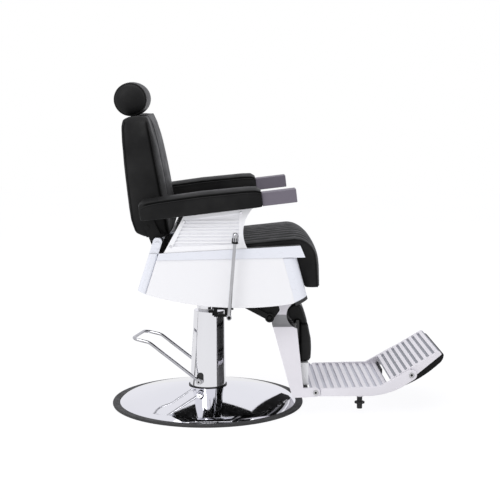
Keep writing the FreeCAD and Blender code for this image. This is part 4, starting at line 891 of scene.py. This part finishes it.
def rise(line):
    """Height of a line from its lowest point to its highest."""
    heights = [p.z for p in line]
    return max(heights) - min(heights)


def shifted(lines, x=0.0, z=0.0):
    return [[p + Vector((x, 0.0, z)) for p in line] for line in lines]


def carried_up(line, length):
    """The line, from its foot up, carried straight on above its top."""
    upward = sorted(line, key=lambda p: p.z)
    return upward + [upward[-1] + (upward[-1] - upward[-3]).normalized() * length]


def is_side_seam(line):
    """True for the seams up the back's sides."""
    return across(line) > side_seam_across and rise(line) > side_seam_rise


def is_top_seam(line):
    """True for the edges over the back's top."""
    return min(p.z for p in line) > top_seam_low and line_length(line) > top_seam_length


def back_pad():
    pad = Pad(
        "back_cushion", "back", name="back_upholstery", fill=0.75, voxel=5 * MM, cap=22 * MM, sink=2 * MM,
        reach=30 * MM, pressure=9.0, rounds=6, keep=lambda line: is_side_seam(line) or is_top_seam(line))
    pad.front_edges = [line for line in pad.seams if is_side_seam(line)]
    low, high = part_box("back_cushion")
    foot = low.z + back_seam_foot
    pad.borders = []
    pad.rear_edges = []
    for side in (-1, 1):
        border = [(high.x + seam_ray, side * (high.y - back_border), z) for z in (foot, high.z)]
        pad.borders.append(pad.draw_seam(border, Vector((-1, 0, 0))))
        outline = []
        for z in np.linspace(foot, high.z - rear_seam_top, rear_seam_points):
            behind = Vector((low.x - seam_ray, side * rear_seam_across, z))
            rear = pad.shell.ray_cast(behind, Vector((1, 0, 0)))[0]
            outline.append((rear.x - seam_ray, side * (high.y + seam_ray), z))
        pad.rear_edges.append(pad.draw_seam(outline, Vector((1, -side, 0)).normalized()))

    def fuller(co):
        """Raises the top towards the headrest, more beside it than under it, and fills the rear corners."""
        beside = ramp(np.abs(co[:, 1]), *beside_headrest)
        ahead = ramp(co[:, 0], *top_rear) * (1.0 - ramp(co[:, 0], *top_front))
        top = ramp(co[:, 2], *top_height)
        near = 1.0 - ease(distances(co, pad.rear_edges) / rear_fill_reach)
        co = co.copy()
        co[:, 2] += top * ahead * (top_fill_under + beside * (top_fill_beside - top_fill_under))
        co[:, 0] -= rear_fill * near
        return co

    pad.fuller = fuller
    return pad


def seat_pad():
    pad = Pad(
        "seat_cushion", "seat", name="seat_upholstery", fill=0.8, voxel=5 * MM, cap=14 * MM, sink=0.5 * MM,
        reach=14 * MM, pressure=8.0, rounds=3)

    def on_tub(co, normal):
        """The cover lies flat on the board and against the tub."""
        behind = (normal[:, 0] < seat_pin_rear) & (co[:, 2] < seat_rear_low)
        return (normal[:, 2] < seat_pin_down) | behind

    pad.extra_pins = on_tub
    low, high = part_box("seat_cushion")

    def fuller(co):
        """Bows the front drop out between its side seams and fills its lower end towards the seat."""
        drop = ramp(co[:, 0], high.x - drop_depth, drop_fade) * ramp(co[:, 2], drop_top, -drop_top_fade)
        drop *= drop_foot_share + (1.0 - drop_foot_share) * ramp(co[:, 2], low.z, drop_foot_fade)
        bow = dome(co[:, 1] / high.y)
        tail = ramp(co[:, 2], low.z + tail_height, -tail_fade)
        tail *= ramp(co[:, 0], high.x - tail_depth, -tail_edge)
        co = co.copy()
        co[:, 0] += seat_front_fill * drop * bow - seat_tail_fill * tail
        return co

    pad.fuller = fuller

    def is_edge(line):
        return line_length(line) > seat_edge_length and across(line) > seat_edge_across

    def is_channel(line):
        sideways = [p.y for p in line]
        straight = max(sideways) - min(sideways) < channel_spread
        return across(line) < channel_across and straight and line_length(line) > channel_length

    pad.edges = [line for line in pad.seams if is_edge(line)]
    pad.channels = [line for line in pad.seams if is_channel(line)]
    return pad


def arm_pad(side):
    pad = Pad(
        "arm_pad_" + side, "seat", name="arm_upholstery_" + side, fill=0.85, voxel=4.5 * MM, cap=4 * MM,
        sink=0.5 * MM, reach=16 * MM, pressure=4.0, rounds=6)
    pad.extra_pins = lambda co, normal: normal[:, 2] < arm_pin_down
    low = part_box("arm_pad_" + side)[0]

    def fuller(co):
        """Rounds the rear end out."""
        co = co.copy()
        co[:, 0] -= arm_rear_fill * ramp(co[:, 0], low.x + arm_rear_reach, -arm_rear_reach)
        return co

    pad.fuller = fuller

    def is_edge(line):
        return line_length(line) > arm_edge_length and max(p.z for p in line) > arm_edge_low

    pad.edges = [line for line in pad.seams if is_edge(line)]
    return pad


def headrest_pad():
    pad = Pad(
        "headrest_roll", "headrest", name="headrest_upholstery", fill=0.9, voxel=4.5 * MM, cap=9 * MM,
        sink=0.0, reach=20 * MM, pressure=9.0, rounds=4)
    low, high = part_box("headrest_roll")
    middle = (low + high) / 2
    pad.rings = []
    for side in (-1, 1):
        ring = []
        for step in range(headrest_ring_steps + 1):
            angle = math.tau * step / headrest_ring_steps
            x = middle.x + headrest_ring_radius * math.cos(angle)
            z = middle.z + headrest_ring_radius * math.sin(angle)
            ring.append((x, side * side_ray, z))
        pad.rings.append(pad.draw_seam(ring, Vector((0, -side, 0))))

    def fuller(co):
        """Fills the ends out to plump discs."""
        radius = np.hypot(co[:, 0] - middle.x, co[:, 2] - middle.z) / headrest_ring_radius
        end = ramp(np.abs(co[:, 1]), high.y - headrest_end_depth, headrest_end_fade)
        co = co.copy()
        co[:, 1] += np.sign(co[:, 1]) * end * headrest_end_fill * dome(radius)
        return co

    pad.fuller = fuller
    return pad


def calf_pad():
    pad = Pad(
        "calf_pad", "footrest", name="calf_upholstery", fill=0.75, voxel=4.5 * MM, cap=9 * MM, sink=1 * MM,
        reach=18 * MM, pressure=8.0, rounds=5, close_pockets=False)
    board_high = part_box("calf_board")[1]

    def on_board(co, normal):
        """The cover lies flat on both faces of the board."""
        behind = (normal[:, 0] < calf_pin_rear) & (co[:, 2] < calf_wrap)
        in_slot = np.abs(co[:, 0] - calf_slot) < calf_slot_half
        return behind | (in_slot & (co[:, 2] < board_high.z + calf_slot_above))

    pad.extra_pins = on_board
    low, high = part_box("calf_pad")
    fold = [(high.x + seam_ray, y, calf_fold) for y in (low.y, high.y)]
    pad.fold = [pad.draw_seam(fold, Vector((-1, 0, 0)))]
    for side in (-1, 1):
        end = [(x, side * side_ray, calf_fold) for x in (calf_slot + calf_slot_half, high.x)]
        pad.fold.append(pad.draw_seam(end, Vector((0, -side, 0))))
    return pad


def flip_pad():
    pad = Pad(
        "flip_pad", "flip", name="flip_upholstery", fill=0.65, voxel=4.5 * MM, cap=6 * MM, sink=1.5 * MM,
        reach=14 * MM, pressure=6.0, rounds=4)
    pad.extra_pins = lambda co, normal: normal[:, 2] > flip_pin_up
    return pad


def soften_back(back):
    """Rounds the top corners of the back's cover and its foot."""
    low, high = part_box("back_cushion")

    def in_corner(co):
        beside = np.abs(co[:, 1]) > high.y - soft_corner_width
        return (co[:, 2] > high.z - soft_corner_height) & beside

    back.soften(in_corner, soft_corner_rounds)
    back.soften(lambda co: co[:, 2] < low.z + soft_foot_height, soft_foot_rounds)


def upholstery():
    back = back_pad()
    seat = seat_pad()
    arms = [arm_pad("right"), arm_pad("left")]
    roll = headrest_pad()
    calf = calf_pad()
    flip = flip_pad()
    pads = [back, seat, *arms, roll, calf, flip]
    simulate(pads)
    for pad in pads:
        pad.refine()
        pad.dress()
    soften_back(back)
    back.sew(back.borders, *back_border_seam)
    back.sew(back.rear_edges, *back_rear_seam)
    front_seams = [carried_up(line, front_seam_rise) for line in back.front_edges]
    back.sew(shifted(front_seams, x=-front_seam_back), *back_front_seam)
    seat.sew(seat.channels, *seat_channel_seam)
    seat.sew(seat.edges, *seat_edge_seam)
    roll.sew(roll.rings, *headrest_seam)
    calf.sew(calf.fold, *calf_seam)
    back.add_piping("back_piping", back.rear_edges + back.front_edges)
    seat.add_piping("seat_piping", seat.edges)
    for side, pad in zip(("right", "left"), arms):
        pad.sew(shifted(pad.edges, z=-arm_seam_drop), *arm_seam)
        pad.add_piping("arm_piping_" + side, shifted(pad.edges, z=-arm_piping_drop))
    roll.add_piping("headrest_piping", roll.rings)


# Small details

def detail(name, made, body, slot):
    """A small piece that rides on a body."""
    bmesh.ops.recalc_face_normals(made, faces=made.faces)
    mesh = bpy.data.meshes.new(name)
    made.to_mesh(mesh)
    made.free()
    mesh.materials.append(finish[slot])
    piece = add_piece(name, mesh)
    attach(piece, body)


def trim_plugs():
    """Dark plugs in the open lower ends of the front trims."""
    made = bmesh.new()
    made.from_mesh(frame["nodes"]["front_trims"].data)
    made.normal_update()
    away = []
    for face in made.faces:
        if face.normal.dot(Vector(trim_cut)) < trim_cut_match or face.normal.z > trim_cut_down:
            away.append(face)
    bmesh.ops.delete(made, geom=away, context="FACES")
    grown = bmesh.ops.extrude_face_region(made, geom=list(made.faces), use_keep_orig=True)
    moved = [v for v in grown["geom"] if isinstance(v, bmesh.types.BMVert)]
    bmesh.ops.translate(made, verts=moved, vec=plug_drop)
    detail("front_trim_plugs", made, "seat", "black_rubber")


def knob_barrel():
    """Fluted grip under the lever's round knob."""
    made = bmesh.new()
    axis = Vector(knob_axis)
    turn = axis.to_track_quat("Z", "Y")
    rings = []
    count = knob_steps * knob_flutes
    for share, shrink in knob_rings:
        ring = []
        for step in range(count):
            radius = shrink * (knob_crest if step % knob_steps < knob_steps / 2 else knob_valley)
            angle = math.tau * step / count
            spoke = turn @ Vector((radius * math.cos(angle), radius * math.sin(angle), 0.0))
            ring.append(made.verts.new(Vector(knob_foot) + axis * knob_length * share + spoke))
        rings.append(ring)
    for low, high in zip(rings, rings[1:]):
        for index in range(len(low)):
            ahead = (index + 1) % len(low)
            made.faces.new((low[index], low[ahead], high[ahead], high[index]))
    made.faces.new(rings[0])
    made.faces.new(rings[-1])
    detail("lever_knob_barrel", made, "side_lever", "black_steel")


def sockets(name, node, body, centre, axis, radius):
    """Black hexagons, a little proud of both heads of a cross bolt: painted shade of their sockets."""
    tree = BVHTree.FromPolygons(
        [v.co for v in frame["nodes"][node].data.vertices],
        [p.vertices for p in frame["nodes"][node].data.polygons])
    made = bmesh.new()
    for side in (-1, 1):
        outward = Vector(axis) * side
        face = tree.ray_cast(Vector(centre) + outward * bolt_ray, -outward)[0]
        turn = outward.to_track_quat("Z", "Y").to_matrix().to_4x4()
        turn.translation = face
        # each hexagon stands in for the shade inside a socket
        ring = bmesh.ops.create_circle(made, cap_ends=True, radius=radius, segments=6, matrix=turn)
        faces = list({f for v in ring["verts"] for f in v.link_faces})
        grown = bmesh.ops.extrude_face_region(made, geom=faces)
        moved = [v for v in grown["geom"] if isinstance(v, bmesh.types.BMVert)]
        bmesh.ops.translate(made, verts=moved, vec=outward * socket_depth)
    detail(name, made, body, "black_steel")


def details():
    trim_plugs()
    knob_barrel()
    sockets("lever_pivot_sockets", "lever_pivots", "base", lever_pivot, lever_axis, lever_socket)
    sockets("flip_pin_sockets", "flip_pins", "footrest", flip_pivot, cross_axis, flip_socket)
    sockets("foot_bolt_sockets", "leg_bolts", "footrest", foot_bolt, cross_axis, foot_socket)


# Stage

def floor():
    s = Shader("floor")
    mirrored = s.node("LightPath").outputs["Is Glossy Ray"]
    forward = s.at("X")
    strip = s.between(s.at("Y"), streak_front, streak_rear, floor_fade)
    streak = s.both(strip, s.below(forward, *streak_end))
    ahead = s.between(forward, sector_near, sector_far, floor_fade)
    front = s.above(s.along(sector_front), 0.0, floor_fade)
    rear = s.above(s.along(sector_rear), 0.0, floor_fade)
    sector = s.both(ahead, s.both(front, rear))
    in_mirrors = s.blend(s.either(streak, sector), mirrored_floor, dim_floor)
    s.surface(
        Base_Color=s.mix(s.noise(2.0, detail=3.0), grey(0.11), grey(0.13)),
        Roughness=0.7,
        Specular_IOR_Level=0.0,
        Emission_Color=floor_white,
        Emission_Strength=s.blend(mirrored, floor_glow, in_mirrors),
    )
    disc = bmesh.new()
    bmesh.ops.create_circle(disc, cap_ends=True, radius=floor_radius, segments=floor_sides)
    mesh = bpy.data.meshes.new("floor")
    disc.to_mesh(mesh)
    disc.free()
    mesh.materials.append(s.material)
    piece = add_piece("floor", mesh)
    piece.location.z = -floor_drop


def softbox(name, place, target, size, power):
    light = bpy.data.lights.new(name, "AREA")
    light.shape = "RECTANGLE"
    light.size, light.size_y = size
    light.energy = power
    lamp = bpy.data.objects.new(name, light)
    lamp.location = place
    lamp.rotation_euler = (Vector(target) - Vector(place)).to_track_quat("-Z", "Y").to_euler()
    bpy.context.scene.collection.objects.link(lamp)


def studio():
    """White surroundings: full white to the eye, a soft dim fill, and a pale room in the mirror finishes."""
    scene = bpy.context.scene
    world = bpy.data.worlds.new("studio")
    world.use_nodes = True
    tree = world.node_tree
    path = tree.nodes.new("ShaderNodeLightPath")
    fill = tree.nodes["Background"]
    fill.inputs["Color"].default_value = plain_white
    fill.inputs["Strength"].default_value = fill_light
    room = tree.nodes.new("ShaderNodeBackground")
    room.inputs["Color"].default_value = room_white
    room.inputs["Strength"].default_value = mirrored_room
    seen = tree.nodes.new("ShaderNodeBackground")
    seen.inputs["Color"].default_value = plain_white
    mirrored = tree.nodes.new("ShaderNodeMixShader")
    direct = tree.nodes.new("ShaderNodeMixShader")
    for source, target in (
        (path.outputs["Is Glossy Ray"], mirrored.inputs[0]),
        (fill.outputs[0], mirrored.inputs[1]),
        (room.outputs[0], mirrored.inputs[2]),
        (path.outputs["Is Camera Ray"], direct.inputs[0]),
        (mirrored.outputs[0], direct.inputs[1]),
        (seen.outputs[0], direct.inputs[2]),
        (direct.outputs[0], tree.nodes["World Output"].inputs["Surface"]),
    ):
        tree.links.new(source, target)
    scene.world = world
    scene.view_settings.view_transform = "Standard"
    middle = (cad_low + cad_high) / 2
    softbox("overhead", overhead_place, middle, overhead_size, overhead_power)
    softbox("key", key_place, middle, key_size, key_power)


def camera():
    data = bpy.data.cameras.new("camera")
    data.sensor_width = camera_sensor
    data.lens = camera_lens
    eye = bpy.data.objects.new("camera", data)
    eye.location = camera_place
    eye.rotation_euler = (math.pi / 2 - camera_pitch_down, 0.0, -camera_yaw)
    bpy.context.scene.collection.objects.link(eye)
    bpy.context.scene.camera = eye


dress_nodes()
upholstery()
details()
floor()
studio()
camera()
